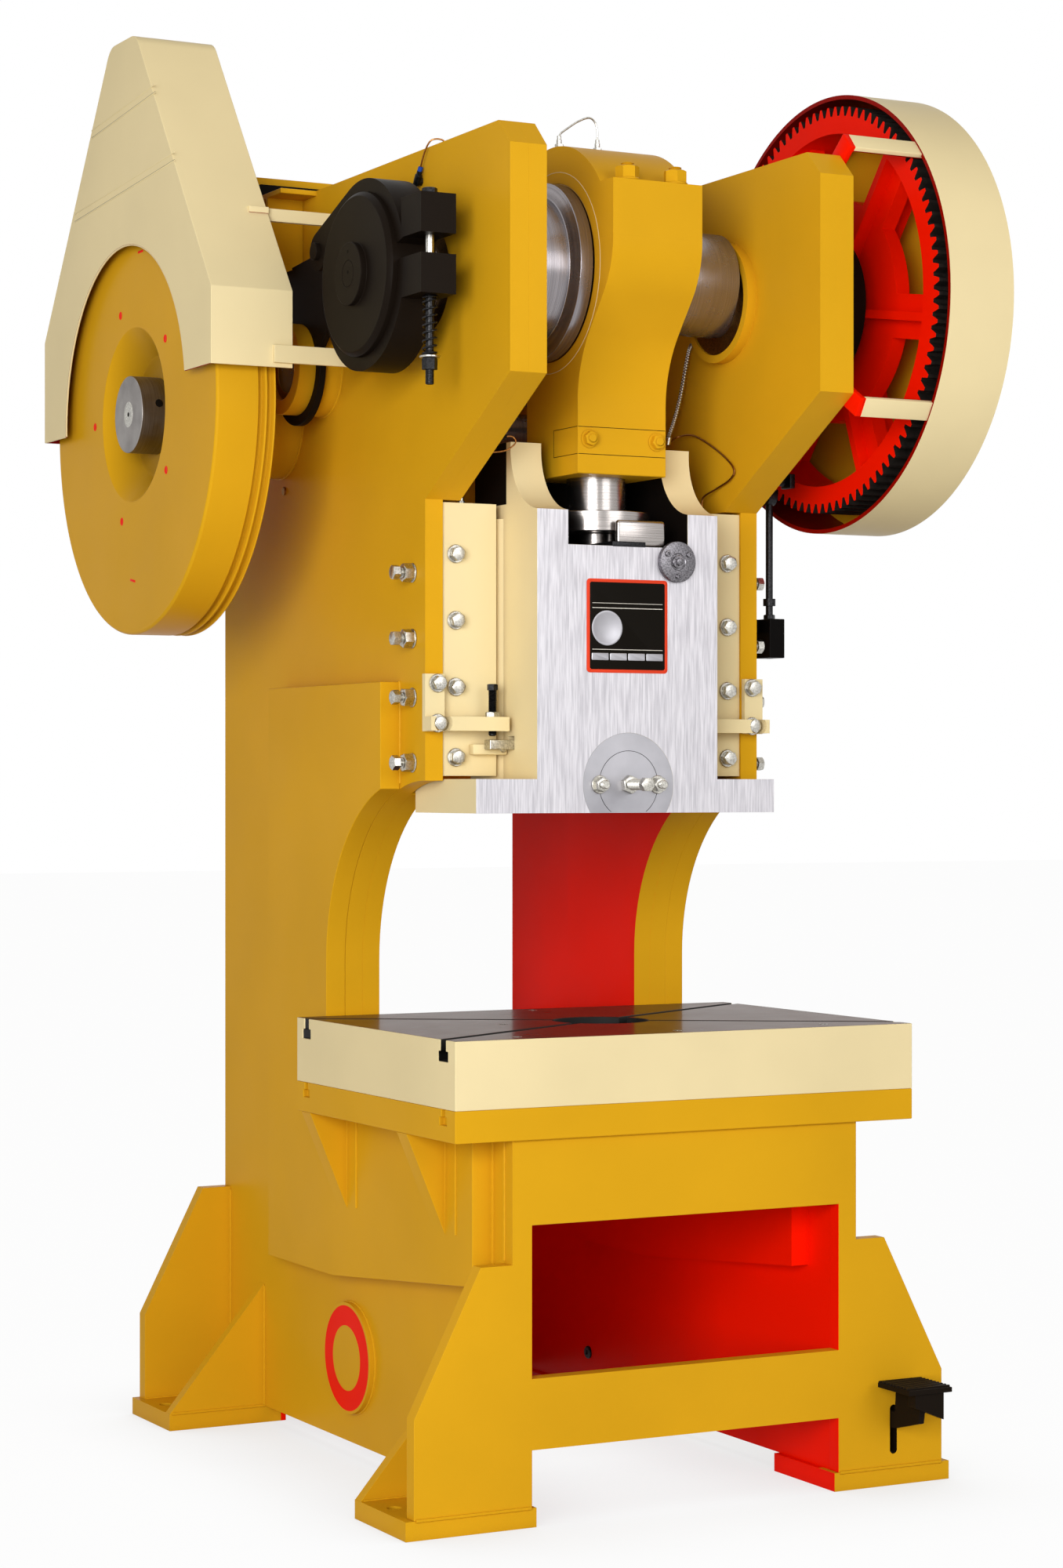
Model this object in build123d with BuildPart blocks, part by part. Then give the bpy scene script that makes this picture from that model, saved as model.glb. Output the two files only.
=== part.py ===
"""Mechanical stamping press: a C-frame power press with a geared crank.

The frame stands with its front toward -Y and its four anchor holes centred on the origin,
at floor height. The flywheel and the brake are on the left (-X), the bull gear is on the
right (+X). The crank stands at the top of its stroke. Lengths are in millimetres.
"""

import os
from math import acos, atan2, cos, degrees, hypot, pi, radians, sin, sqrt, tan

from build123d import *

os.makedirs("parts", exist_ok=True)

LEFT, RIGHT = -1, 1
SIDES = ((LEFT, "left"), (RIGHT, "right"))

# Fits
running_fit = 0.05      # radial play of a shaft in its bush
free_gap = 0.3          # between faces that pass each other
hole_play = 0.2         # radial play of a bolt in its hole

# Frame plates, from the middle outward
clear_width = 564
inner_plate_t = 36
side_plate_t = 36
outer_plate_t = 40
inner_x = clear_width / 2
side_x = inner_x + inner_plate_t
outer_x = side_x + side_plate_t
doubler_x = outer_x + outer_plate_t

# Feet and anchor holes
foot_t = 34
foot_inner_x = 307
foot_outer_x = 559
anchor_x = 527
anchor_y = 541
anchor_hole_r = 13
foot_length = 208
foot_overhang = 105     # from the anchor hole to the outer end of the foot
gusset_t = 24
front_gusset_rise = 238
rear_gusset_rise = 247
gusset_toe = 1          # the gusset stops this far inside the foot's edge

# Side view of the frame
frame_rear_y = anchor_y + foot_overhang
panel_t = 30
panel_front_y = -654
base_front_y = panel_front_y + panel_t
arm_front_y = -645
frame_top_z = 2450
arm_corner = 45
arm_low_z = 2007        # lower front corner of the arms
strip_top_z = 1811      # where the arms meet the guide strips
strip_front_y = -307
throat_r = 345
throat_y = 44           # upright face of the throat
throat_centre_z = 952
throat_top_z = throat_centre_z + throat_r
top_step_y = 180
top_plate_t = 10
top_rib_t = 12
top_rib_h = 150
top_rib_y = (250, 340, 430)

# Inner plates
inner_rear_y = 326
inner_base_front_y = -547
inner_front_y = -270
inner_base_z = 350
inner_base_front_z = 400
inner_notch_y = -170
gib_low_z = 1306

# Doubler plates
doubler_front_y = -200
doubler_top_z = 1480
doubler_low_z = 355
doubler_toe_y = -578
doubler_toe_z = 412
doubler_heel_y = 16        # where the lower edge starts to rise toward the front
table_gusset_t = 42
table_gusset_low_z = 490
table_gusset_rear_y = (-94, -513)

# Table
bolster_top_z = 850
bolster_t = 120
bed_t = 56
table_width = 940
table_depth = 674
table_rear_y = 9.5
bed_top_z = bolster_top_z - bolster_t
bed_low_z = bed_top_z - bed_t
table_y = table_rear_y - table_depth / 2
bolster_hole_r = 90
bed_hole_r = 110
slot_stem_w = 18
slot_depth = 20
slot_head_w = 32
slot_head_h = 18
slot_rear_y = -34
slot_front_y = -617
bed_notch_depth = 9     # of the tee-shaped notches in the bed plate's left edge
bed_notch_stem_w = 14
bed_notch_head_w = 28
bed_notch_h = 14        # of the stem, and of the head below it

# Round pad on the left side plate
pad_centre = (13, 196)
pad_r = 106
pad_t = 12

# Front panel
window_half = 315.5
window_low_z = 258
window_top_z = 524.5
leg_top_z = 134
panel_step_z = 458
panel_step_x = 415.5
panel_leg_x = 543
panel_leg_z = 206

# Rear closing plates
rear_plate_t = 30
rear_panel_top_z = 860
rear_upper_low_z = 1270

# Crank, eccentric and bearings
crank_y = -309
crank_z = 2210
eccentric = 30
crank_centre = (crank_y, crank_z)
pin_centre = (crank_y, crank_z + eccentric)
journal_r = 66
crank_end_r = 60
drum_seat_r = 45
pin_r = 98
sleeve_r = 150
sleeve_body_r = 138
rod_bush_t = 15
crank_bush_r = 100
boss_ring_r = 115
boss_ring_h = 20
crank_bush_lip = 4      # the bush stands back from the boss ring

# Gear trains
pressure_angle = 20
backlash = 0.5
bull_module = 8
bull_teeth = 96
pinion_teeth = 21
bull_face = 100
bull_x = 505
first_module = 6
first_teeth = 57
first_pinion_teeth = 18
first_face = 50
first_x = -195
pinion_drop = 14.5      # degrees that the pinion axis lies below the crank's level
flywheel_drop = 20.7
shaft_r = 45
shaft_bush_r = 60
shaft_bush_l = 100
bull_distance = bull_module * (bull_teeth + pinion_teeth) / 2
first_distance = first_module * (first_teeth + first_pinion_teeth) / 2
pinion_y = crank_y + bull_distance * cos(radians(pinion_drop))
pinion_z = crank_z - bull_distance * sin(radians(pinion_drop))
pinion_centre = (pinion_y, pinion_z)
wheel_y = pinion_y + first_distance * cos(radians(flywheel_drop))
wheel_z = pinion_z - first_distance * sin(radians(flywheel_drop))
wheel_centre = (wheel_y, wheel_z)

# Flywheel
wheel_r = 430
wheel_face_x = -668
wheel_width = 119
wheel_rim_t = 85
wheel_dish_r = 170
wheel_dish_floor_r = 118
wheel_dish_depth = 51
wheel_web_t = 37
wheel_hub_r = 118
wheel_hub_end_x = -430
belt_groove_w = 14
belt_groove_depth = 11
belt_grooves = 2
collar_r = 75
collar_stand = 10       # the collar stands out of the flywheel's face
wheel_boss_r = 112
wheel_boss_x = 420
wheel_hole_ring_r = 205
wheel_holes = 6
wheel_hole_first = 12   # degrees from the rear to the first hole
wheel_hole_r = 7
wheel_hole_depth = 8

# Belt guard
guard_sheet = 4
guard_face_x = -690
guard_back_x = -527
guard_half_width = 456
guard_shoulder_z = 2205
guard_rise = 299        # of the guard's top above the flywheel
guard_top_z = wheel_z + wheel_r + guard_rise
guard_top_half = 70
guard_cut_r = 328
guard_front_low_z = 2062
guard_rear_low_z = 1998
guard_crown_r = 48
guard_open_depth = 50   # by which the hollow runs out below the guard
strap_w = 33
strap_t = 8
strap_share = 0.3       # height of the upper strap, from the shoulder to the top
strap_lap = 40          # of a strap on the guard's edge

# Connecting rod
rod_half = 93
rod_big_half = 234
rod_small_half = 100
rod_low_z = 1861
rod_neck_z = 2062
rod_shoulder_z = 2222
rod_split_rise = 40
rod_neck_fillet = 75
rod_shoulder_fillet = 95
screw_grip = 130        # length of the screw in the rod
cap_shoulder_z = 2382
cap_bolt_x = 50
cap_bolt_y = 209
cap_bolt_r = 12
cap_bolt_grip = 55
cap_nut_af = 38
cap_nut_h = 26
clamp_rod_z = 1925
clamp_rod_x = (-69, 73)
screw_r = 55
screw_collar_r = 100
screw_collar_z = 1796
screw_collar_h = 38
ball_r = 58
neck_r = 40
ball_z = 1655

# Ram and guides
ram_half = 190
ram_front_y = -434
ram_rear_y = -183
ram_low_z = 1238
ram_top_z = 1791
horn_top_z = 1921
horn_front_y = -329
pocket_half = 126
pocket_floor_z = 1728
pocket_wall_t = 20
pocket_wall_top_z = 1880
flange_half = 314
flange_t = 62
vee_y = -255
vee_half = 45
gib_inner_x = 206
gib_front_y = -302
gib_back_y = -208
gib_top_z = 1807
cup_r = 112
cup_low_z = 1575
shank_r = 25.4
shank_depth = 95
clamp_r = 95
clamp_neck_r = 50
clamp_depth = 54
clamp_z = 1290
clamp_bolt_x = 61
set_screw_r = 10
set_screw_stand = 75
bar_w = 24
bar_h = 18
bar_half = 240
bar_low_z = 1354
bar_lift = 6
cap_x = 100             # round cap over the screw lock
cap_z = 1702
cap_r = 38
cap_t = 10

# Ram motion
stroke = 2 * eccentric
linear_slack = 7        # the ram is driven evenly, so the ball needs this much play

# Gib bolts and adjusting screws
gib_bolt_x = 290
gib_bolt_z = (1713, 1591, 1469, 1340)
bolt_r = 8
bolt_head_af = 24
bolt_head_h = 13
gib_bolt_grip = 34
bracket_bolt_grip = 44
washer_r = 17
washer_t = 4
adjuster_z = (1679, 1558, 1450, 1330)
adjuster_r = 10
adjuster_nut_af = 30
adjuster_nut_h = 22
adjuster_head_x = 384
adjuster_head_h = 13

# Knock-out brackets
bracket_t = 12
bracket_leg_x = (320, 360)
bracket_leg_z = (1387, 1492)
bracket_arm_x = 200
bracket_arm_z = (1388, 1414)
bracket_arm_y = (-345, -319)
bracket_bolt_x = 335
bracket_bolt_z = (1475, 1402)
knock_x = 229
knock_r = 8
knock_top_z = 1474
knock_tip_z = 1379
knock_nut_h = 9

# Brake
drum_r = 148
drum_left_x = -498
drum_right_x = -404
drum_hub_r = 57
drum_hub_stand = 12
shoe_r = 173
shoe_x = (-480, -412)
anchor_angle = 19.4     # of the anchor pin, above the rear of the drum
anchor_distance = 212
anchor_pin_r = 16
anchor_eye_r = 36
ear_front_y = -551
ear_back_y = -470
ear_upper_z = (2254, 2324)
ear_lower_z = (2148, 2218)
brake_bolt_y = -515
brake_bolt_r = 8
brake_head_z = 2337
brake_end_z = 1992
brake_spring_r = 12.5
brake_spring_wire = 3
brake_spring_z = (2043, 2146)

brake_spring_turns = 9
brake_plate_t = 14
brake_disc_centre = (180, 2170)
brake_disc_r = 120
brake_web = ((170, 2294), (120, 2060))
brake_lug_y = (60, 78)
brake_lug_z = (2185, 2270)

# Pinion shaft housings
housing_r = 88
housing_x = 444

# Gear guard
ring_r = 412
ring_t = 8
ring_x = 490
ring_width = 165
pinion_lobe_r = 106
cover_t = 5
stay_w = 37
stay_t = 12
stay_root_r = 364
stay_angles = (40.6, -32, 176)

# Clutch and bull gear body
clutch_r = 150
clutch_x = 374
gear_rim_r = 340
gear_web_x = 530
gear_web_t = 30
gear_web_r = 215
gear_hub_r = 98
spoke_count = 6
spoke_first = -9
spoke_half = 42
rib_t = 16
rib_start_r = 150

# Motor base
motor_base_z = 2474
motor_base_t = 16
motor_base_front_y = 300
motor_rail_w = 50
motor_rail_inset = 20
overhang_x = -430

# Trip rod and pedal
trip_x = 424
trip_y = -240
trip_r = 7
trip_top_z = 1850
trip_block_x = (408, 442)
trip_block_y = (-268, -212)
trip_block_z = (1536, 1612)
trip_lug_t = 14
trip_lug_h = 26
trip_foot_z = 1574      # lower end of the rod, in the block
trip_collar_r = 12
trip_collar_z = (1638, 1652)
trip_eye_r = 16
trip_eye_w = 18
pedal_x = 436
pedal_lever_t = 12
pedal_plate_w = 94
pedal_plate_y = (-774, -672)
pedal_top_z = 196
pedal_plate_t = 9
pedal_pivot_y = -500
pedal_pivot_z = 122
pedal_pin_r = 12
pedal_slot_w = 15
pedal_slot_z = (58, 148)
pedal_ribs = 9
pedal_rib_w = 5
pedal_rib_h = 3
pedal_rib_pitch = 11
pedal_hub_r = 26
pedal_heel_h = (24, 50)  # of the block under the plate, at its inner and outer ends
pedal_heel_l = 24


def polygon(plane, points):
    """Flat shape on a plane, with straight edges through its points."""
    with BuildSketch(plane) as shape:
        with BuildLine():
            Polyline(*points, close=True)
        make_face()
    return shape.sketch


def side_plane(side, near, far):
    """Upright plane on the lower X face of a plate that lies from near to far on one side."""
    return Plane.YZ.offset(min(side * near, side * far))


def turned(centre, outline):
    """Half section for turning, as (x, radius) points about the X line through centre."""
    y, z = centre
    return polygon(Plane(origin=(0, y, z), x_dir=(1, 0, 0), z_dir=(0, -1, 0)), outline)


def x_axis(centre):
    """Line along X through a (y, z) centre."""
    return Axis((0, *centre), (1, 0, 0))


def x_bar(x0, x1, centre, radius, mode=Mode.ADD):
    """Round bar, or hole, along X."""
    with Locations(((x0 + x1) / 2, *centre)):
        Cylinder(radius, abs(x1 - x0), rotation=(0, 90, 0), mode=mode)


def y_bar(y0, y1, x, z, radius, mode=Mode.ADD):
    """Round bar, or hole, along Y."""
    with Locations((x, (y0 + y1) / 2, z)):
        Cylinder(radius, abs(y1 - y0), rotation=(90, 0, 0), mode=mode)


def z_bar(z0, z1, x, y, radius, mode=Mode.ADD):
    """Round bar, or hole, along Z."""
    with Locations((x, y, (z0 + z1) / 2)):
        Cylinder(radius, abs(z1 - z0), mode=mode)


def block(x, y, z, mode=Mode.ADD):
    """Straight block between two limits on each axis."""
    with Locations(((x[0] + x[1]) / 2, (y[0] + y[1]) / 2, (z[0] + z[1]) / 2)):
        Box(abs(x[1] - x[0]), abs(y[1] - y[0]), abs(z[1] - z[0]), mode=mode)


def hex_prism(plane, across_flats, height):
    """Hexagon nut or head that stands on a plane."""
    with BuildSketch(plane) as outline:
        RegularPolygon(across_flats / 2, 6, major_radius=False)
    extrude(outline.sketch, amount=height)


def front_plane(x, y, z):
    """Upright plane that faces the front, with its origin at a point."""
    return Plane(origin=(x, y, z), x_dir=(1, 0, 0), z_dir=(0, -1, 0))


def gear_outline(plane, teeth, module, tooth_angle):
    """Spur gear outline with involute flanks and one tooth centred on tooth_angle."""
    pitch_r = module * teeth / 2
    base_r = pitch_r * cos(radians(pressure_angle))
    root_r = pitch_r - 1.25 * module
    radii = [root_r] + [r for r in (base_r,) if r > root_r] + [pitch_r, pitch_r + module]
    half_pitch_tooth = pi / (2 * teeth) - backlash / (2 * pitch_r)

    def half_tooth(radius):
        at_pitch = radians(pressure_angle)
        at_radius = acos(min(1, base_r / radius))
        return half_pitch_tooth + tan(at_pitch) - at_pitch - (tan(at_radius) - at_radius)

    flank = [(radius, half_tooth(radius)) for radius in radii]
    tooth = [(r, -a) for r, a in flank] + [(r, a) for r, a in reversed(flank)]
    points = []
    for index in range(teeth):
        middle = radians(tooth_angle) + 2 * pi * index / teeth
        points += [(r * cos(middle + a), r * sin(middle + a)) for r, a in tooth]
    return polygon(plane, points)


def direction(start, end):
    """Angle in degrees of the line from one (y, z) point to another."""
    return degrees(atan2(end[1] - start[1], end[0] - start[0]))


def gear_plane(x, centre):
    """Upright plane at x, with its origin on a shaft's centre."""
    return Plane(origin=(x, *centre), x_dir=(0, 1, 0), z_dir=(1, 0, 0))


# Side plates of the frame, with the flywheel shaft's bosses
for side, name in SIDES:
    with BuildPart() as side_plate:
        with BuildSketch(side_plane(side, side_x, outer_x)):
            with BuildLine():
                Polyline(
                    (throat_y - throat_r, throat_top_z),
                    (strip_front_y, throat_top_z),
                    (strip_front_y, strip_top_z),
                    (arm_front_y, arm_low_z),
                    (arm_front_y, frame_top_z - arm_corner),
                    (arm_front_y + arm_corner, frame_top_z),
                    (top_step_y, frame_top_z),
                    (top_step_y, frame_top_z - top_plate_t),
                    (frame_rear_y, frame_top_z - top_plate_t),
                    (frame_rear_y, foot_t),
                    (base_front_y, foot_t),
                    (base_front_y, bed_low_z),
                    (throat_y, bed_low_z),
                    (throat_y, throat_centre_z),
                )
                CenterArc((throat_y - throat_r, throat_centre_z), throat_r, 0, 90)
            make_face()
        extrude(amount=side_plate_t)
        x_bar(side * side_x, side * wheel_boss_x, wheel_centre, wheel_boss_r)
        x_bar(side * side_x, side * wheel_boss_x, wheel_centre, shaft_bush_r, Mode.SUBTRACT)
        x_bar(side * side_x, side * outer_x, crank_centre, crank_bush_r, Mode.SUBTRACT)
        x_bar(side * side_x, side * outer_x, pinion_centre, housing_r, Mode.SUBTRACT)
        for z in adjuster_z:
            hole = adjuster_r + hole_play
            x_bar(side * side_x, side * outer_x, (vee_y, z), hole, Mode.SUBTRACT)
        for z in bracket_bolt_z:
            y_bar(strip_front_y, strip_front_y + bracket_bolt_grip, side * bracket_bolt_x, z,
                  bolt_r + hole_play, Mode.SUBTRACT)
        if side == LEFT:
            x_bar(-outer_x, -outer_x - pad_t, pad_centre, pad_r)
        else:
            pin_end = pedal_x + pedal_lever_t / 2 + 12
            x_bar(outer_x, pin_end, (pedal_pivot_y, pedal_pivot_z), pedal_pin_r)
    side_plate.part.label = f"side_plate_{name}"
    export_step(side_plate.part, f"parts/side_plate_{name}.step")

# Inner plates, which carry the gibs and the crank bearings
for side, name in SIDES:
    with BuildPart() as inner_plate:
        arc_from = degrees(acos((inner_notch_y - throat_y + throat_r) / throat_r))
        with BuildSketch(side_plane(side, inner_x, side_x)):
            with BuildLine():
                arc = CenterArc((throat_y - throat_r, throat_centre_z), throat_r, 0, arc_from)
                Polyline(
                    arc @ 1,
                    (inner_notch_y, gib_low_z),
                    (inner_front_y, gib_low_z),
                    (inner_front_y, strip_top_z),
                    (strip_front_y, strip_top_z),
                    (arm_front_y, arm_low_z),
                    (arm_front_y, frame_top_z - arm_corner),
                    (arm_front_y + arm_corner, frame_top_z),
                    (top_step_y, frame_top_z),
                    (top_step_y, frame_top_z - top_plate_t),
                    (inner_rear_y, frame_top_z - top_plate_t),
                    (inner_rear_y, inner_base_z),
                    (0, inner_base_z),
                    (inner_base_front_y, inner_base_front_z),
                    (inner_base_front_y, bed_low_z),
                    (throat_y, bed_low_z),
                    arc @ 0,
                )
            make_face()
        extrude(amount=inner_plate_t)
        x_bar(side * inner_x, side * (inner_x - boss_ring_h), crank_centre, boss_ring_r)
        x_bar(side * (inner_x - boss_ring_h), side * side_x, crank_centre, crank_bush_r,
              Mode.SUBTRACT)
        x_bar(side * inner_x, side * side_x, pinion_centre, housing_r, Mode.SUBTRACT)
        x_bar(side * inner_x, side * side_x, wheel_centre, shaft_bush_r + 10, Mode.SUBTRACT)
        for z in adjuster_z:
            hole = adjuster_r + hole_play
            x_bar(side * inner_x, side * side_x, (vee_y, z), hole, Mode.SUBTRACT)
        for z in gib_bolt_z:
            y_bar(inner_front_y, gib_front_y + gib_bolt_grip + 1, side * gib_bolt_x, z,
                  bolt_r + hole_play, Mode.SUBTRACT)
    inner_plate.part.label = f"inner_plate_{name}"
    export_step(inner_plate.part, f"parts/inner_plate_{name}.step")

# Doubler plates outside the side plates, with the gussets under the table
for side, name in SIDES:
    with BuildPart() as outer_plate:
        arc_from = degrees(acos((doubler_front_y - throat_y + throat_r) / throat_r))
        with BuildSketch(side_plane(side, outer_x, doubler_x)):
            with BuildLine():
                arc = CenterArc((throat_y - throat_r, throat_centre_z), throat_r, 0, arc_from)
                Polyline(
                    arc @ 1,
                    (doubler_front_y, doubler_top_z),
                    (inner_rear_y, doubler_top_z),
                    (inner_rear_y, doubler_low_z),
                    (doubler_heel_y, doubler_low_z),
                    (doubler_toe_y, doubler_toe_z),
                    (doubler_toe_y, bed_low_z),
                    (throat_y, bed_low_z),
                    arc @ 0,
                )
            make_face()
        extrude(amount=outer_plate_t)
        for rear_y in table_gusset_rear_y:
            gusset = polygon(
                Plane.XZ.offset(-rear_y - table_gusset_t),
                [
                    (side * doubler_x, table_gusset_low_z),
                    (side * doubler_x, bed_low_z),
                    (side * table_width / 2, bed_low_z),
                ],
            )
            extrude(gusset, amount=-table_gusset_t)
    outer_plate.part.label = f"outer_plate_{name}"
    export_step(outer_plate.part, f"parts/outer_plate_{name}.step")

# Front panel of the base, with its window and legs
with BuildPart() as front_panel:
    with BuildSketch(Plane.XZ.offset(-base_front_y)):
        with BuildLine():
            half = Polyline(
                (0, bed_low_z),
                (outer_x, bed_low_z),
                (outer_x, panel_step_z),
                (panel_step_x, panel_step_z),
                (panel_leg_x, panel_leg_z),
                (panel_leg_x, foot_t),
                (window_half, foot_t),
                (window_half, leg_top_z),
                (0, leg_top_z),
            )
            mirror(half, about=Plane.YZ)
        make_face()
        with Locations((0, (window_low_z + window_top_z) / 2)):
            Rectangle(2 * window_half, window_top_z - window_low_z, mode=Mode.SUBTRACT)
        with Locations((pedal_x, (pedal_slot_z[0] + pedal_slot_z[1]) / 2)):
            SlotOverall(pedal_slot_z[1] - pedal_slot_z[0], pedal_slot_w, rotation=90,
                        mode=Mode.SUBTRACT)
    extrude(amount=panel_t)
front_panel.part.label = "front_panel"
export_step(front_panel.part, "parts/front_panel.step")

# Closing plates at the rear, between the side plates
with BuildPart() as rear_panel:
    block((-side_x, side_x), (frame_rear_y - rear_plate_t, frame_rear_y),
          (foot_t, rear_panel_top_z))
rear_panel.part.label = "rear_panel"
export_step(rear_panel.part, "parts/rear_panel.step")

with BuildPart() as rear_upper_plate:
    block((-side_x, side_x), (frame_rear_y - rear_plate_t, frame_rear_y),
          (rear_upper_low_z, frame_top_z - top_plate_t))
rear_upper_plate.part.label = "rear_upper_plate"
export_step(rear_upper_plate.part, "parts/rear_upper_plate.step")

# Feet: the front ones have a gusset behind the panel, the rear ones a gusset and a wing
for side, name in SIDES:
    foot_x = (side * foot_inner_x, side * foot_outer_x)
    toe_x = foot_outer_x - gusset_toe
    with BuildPart() as foot_front:
        block(foot_x, (panel_front_y, panel_front_y + foot_length), (0, foot_t))
        z_bar(0, foot_t, side * anchor_x, -anchor_y, anchor_hole_r, Mode.SUBTRACT)
        gusset = polygon(
            Plane.XZ.offset(-panel_front_y - foot_length + gusset_t),
            [
                (side * outer_x, foot_t),
                (side * outer_x, foot_t + front_gusset_rise),
                (side * toe_x, foot_t),
            ],
        )
        extrude(gusset, amount=-gusset_t)
    foot_front.part.label = f"foot_front_{name}"
    export_step(foot_front.part, f"parts/foot_front_{name}.step")

    with BuildPart() as foot_rear:
        block(foot_x, (frame_rear_y - foot_length, frame_rear_y), (0, foot_t))
        z_bar(0, foot_t, side * anchor_x, anchor_y, anchor_hole_r, Mode.SUBTRACT)
        gusset = polygon(
            Plane.XZ.offset(-frame_rear_y + foot_length),
            [
                (side * outer_x, foot_t),
                (side * outer_x, foot_t + rear_gusset_rise),
                (side * toe_x, foot_t),
            ],
        )
        extrude(gusset, amount=-gusset_t)
        wing = polygon(
            Plane.XZ.offset(-frame_rear_y),
            [
                (side * outer_x, foot_t),
                (side * outer_x, panel_step_z),
                (side * panel_step_x, panel_step_z),
                (side * panel_leg_x, panel_leg_z),
                (side * panel_leg_x, foot_t),
            ],
        )
        extrude(wing, amount=panel_t)
    foot_rear.part.label = f"foot_rear_{name}"
    export_step(foot_rear.part, f"parts/foot_rear_{name}.step")

# Bed plate under the bolster, with lifting notches in its left edge
with BuildPart() as bed_plate:
    block((-table_width / 2, table_width / 2), (table_rear_y - table_depth, table_rear_y),
          (bed_low_z, bed_top_z))
    z_bar(bed_low_z, bed_top_z, 0, table_y, bed_hole_r, Mode.SUBTRACT)
    for notch_y in (slot_rear_y, slot_front_y):
        for width, drop in ((bed_notch_stem_w, 0), (bed_notch_head_w, bed_notch_h)):
            block((-table_width / 2, -table_width / 2 + bed_notch_depth),
                  (notch_y - width / 2, notch_y + width / 2),
                  (bed_top_z - drop - bed_notch_h, bed_top_z - drop), Mode.SUBTRACT)
bed_plate.part.label = "bed_plate"
export_step(bed_plate.part, "parts/bed_plate.step")

# Bolster with two diagonal T-slots and the drop hole
with BuildPart() as bolster_plate:
    block((-table_width / 2, table_width / 2), (table_rear_y - table_depth, table_rear_y),
          (bed_top_z, bolster_top_z))
    z_bar(bed_top_z, bolster_top_z, 0, table_y, bolster_hole_r, Mode.SUBTRACT)
    slot_run = slot_rear_y - slot_front_y
    slot_angle = degrees(atan2(slot_run, table_width))
    slot_y = (slot_rear_y + slot_front_y) / 2
    slot_length = 1.2 * hypot(slot_run, table_width)
    head_z = bolster_top_z - slot_depth - slot_head_h
    for turn in (slot_angle, -slot_angle):
        with BuildSketch(Plane.XY.offset(head_z)):
            with Locations(Location((0, slot_y, 0), (0, 0, turn))):
                Rectangle(slot_length, slot_head_w)
        extrude(amount=slot_head_h, mode=Mode.SUBTRACT)
        with BuildSketch(Plane.XY.offset(head_z + slot_head_h)):
            with Locations(Location((0, slot_y, 0), (0, 0, turn))):
                Rectangle(slot_length, slot_stem_w)
        extrude(amount=slot_depth, mode=Mode.SUBTRACT)
bolster_plate.part.label = "bolster_plate"
export_step(bolster_plate.part, "parts/bolster_plate.step")

# Top plate of the frame: it overhangs on the left, on three ribs
with BuildPart() as top_plate:
    block((overhang_x, outer_x), (top_step_y, frame_rear_y),
          (frame_top_z - top_plate_t, frame_top_z))
    rib_top_z = frame_top_z - top_plate_t
    for rib_y in top_rib_y:
        block((overhang_x, -outer_x), (rib_y - top_rib_t / 2, rib_y + top_rib_t / 2),
              (rib_top_z - top_rib_h, rib_top_z))
top_plate.part.label = "top_plate"
export_step(top_plate.part, "parts/top_plate.step")

# Motor base on two rails
with BuildPart() as motor_base:
    block((overhang_x, outer_x), (motor_base_front_y, frame_rear_y),
          (motor_base_z, motor_base_z + motor_base_t))
    for rail_x in (-side_x, side_x):
        block((rail_x - motor_rail_w / 2, rail_x + motor_rail_w / 2),
              (motor_base_front_y + motor_rail_inset, frame_rear_y - motor_rail_inset),
              (frame_top_z, motor_base_z))
motor_base.part.label = "motor_base"
export_step(motor_base.part, "parts/motor_base.step")

# Gibs: each has a vee groove for the ram and a flange in front of the inner plate
for side, name in SIDES:
    groove_half = vee_half + ram_half - gib_inner_x
    groove_play = free_gap * sqrt(2)
    with BuildPart() as gib:
        outline = polygon(
            Plane.XY.offset(gib_low_z),
            [
                (side * gib_inner_x, gib_front_y),
                (side * side_x, gib_front_y),
                (side * side_x, inner_front_y),
                (side * inner_x, inner_front_y),
                (side * inner_x, gib_back_y),
                (side * gib_inner_x, gib_back_y),
                (side * gib_inner_x, vee_y + groove_half + groove_play),
                (side * (ram_half + vee_half + groove_play), vee_y),
                (side * gib_inner_x, vee_y - groove_half - groove_play),
            ],
        )
        extrude(outline, amount=gib_top_z - gib_low_z)
        for z in gib_bolt_z:
            y_bar(gib_front_y, inner_front_y, side * gib_bolt_x, z, bolt_r + hole_play,
                  Mode.SUBTRACT)
    gib.part.label = f"gib_{name}"
    export_step(gib.part, f"parts/gib_{name}.step")

# Hexagon bolts with washers that hold the gibs and the knock-out brackets
with BuildPart() as gib_bolts:
    places = [(gib_bolt_x, gib_front_y, z, gib_bolt_grip) for z in gib_bolt_z]
    places += [(bracket_bolt_x, strip_front_y - bracket_t, z, bracket_bolt_grip)
               for z in bracket_bolt_z]
    for x, seat_y, z, grip in places:
        for side in (LEFT, RIGHT):
            y_bar(seat_y - washer_t, seat_y, side * x, z, washer_r)
            y_bar(seat_y - washer_t, seat_y + grip, side * x, z, bolt_r)
            hex_prism(front_plane(side * x, seat_y - washer_t, z), bolt_head_af, bolt_head_h)
gib_bolts.part.label = "gib_bolts"
export_step(gib_bolts.part, "parts/gib_bolts.step")

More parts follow.
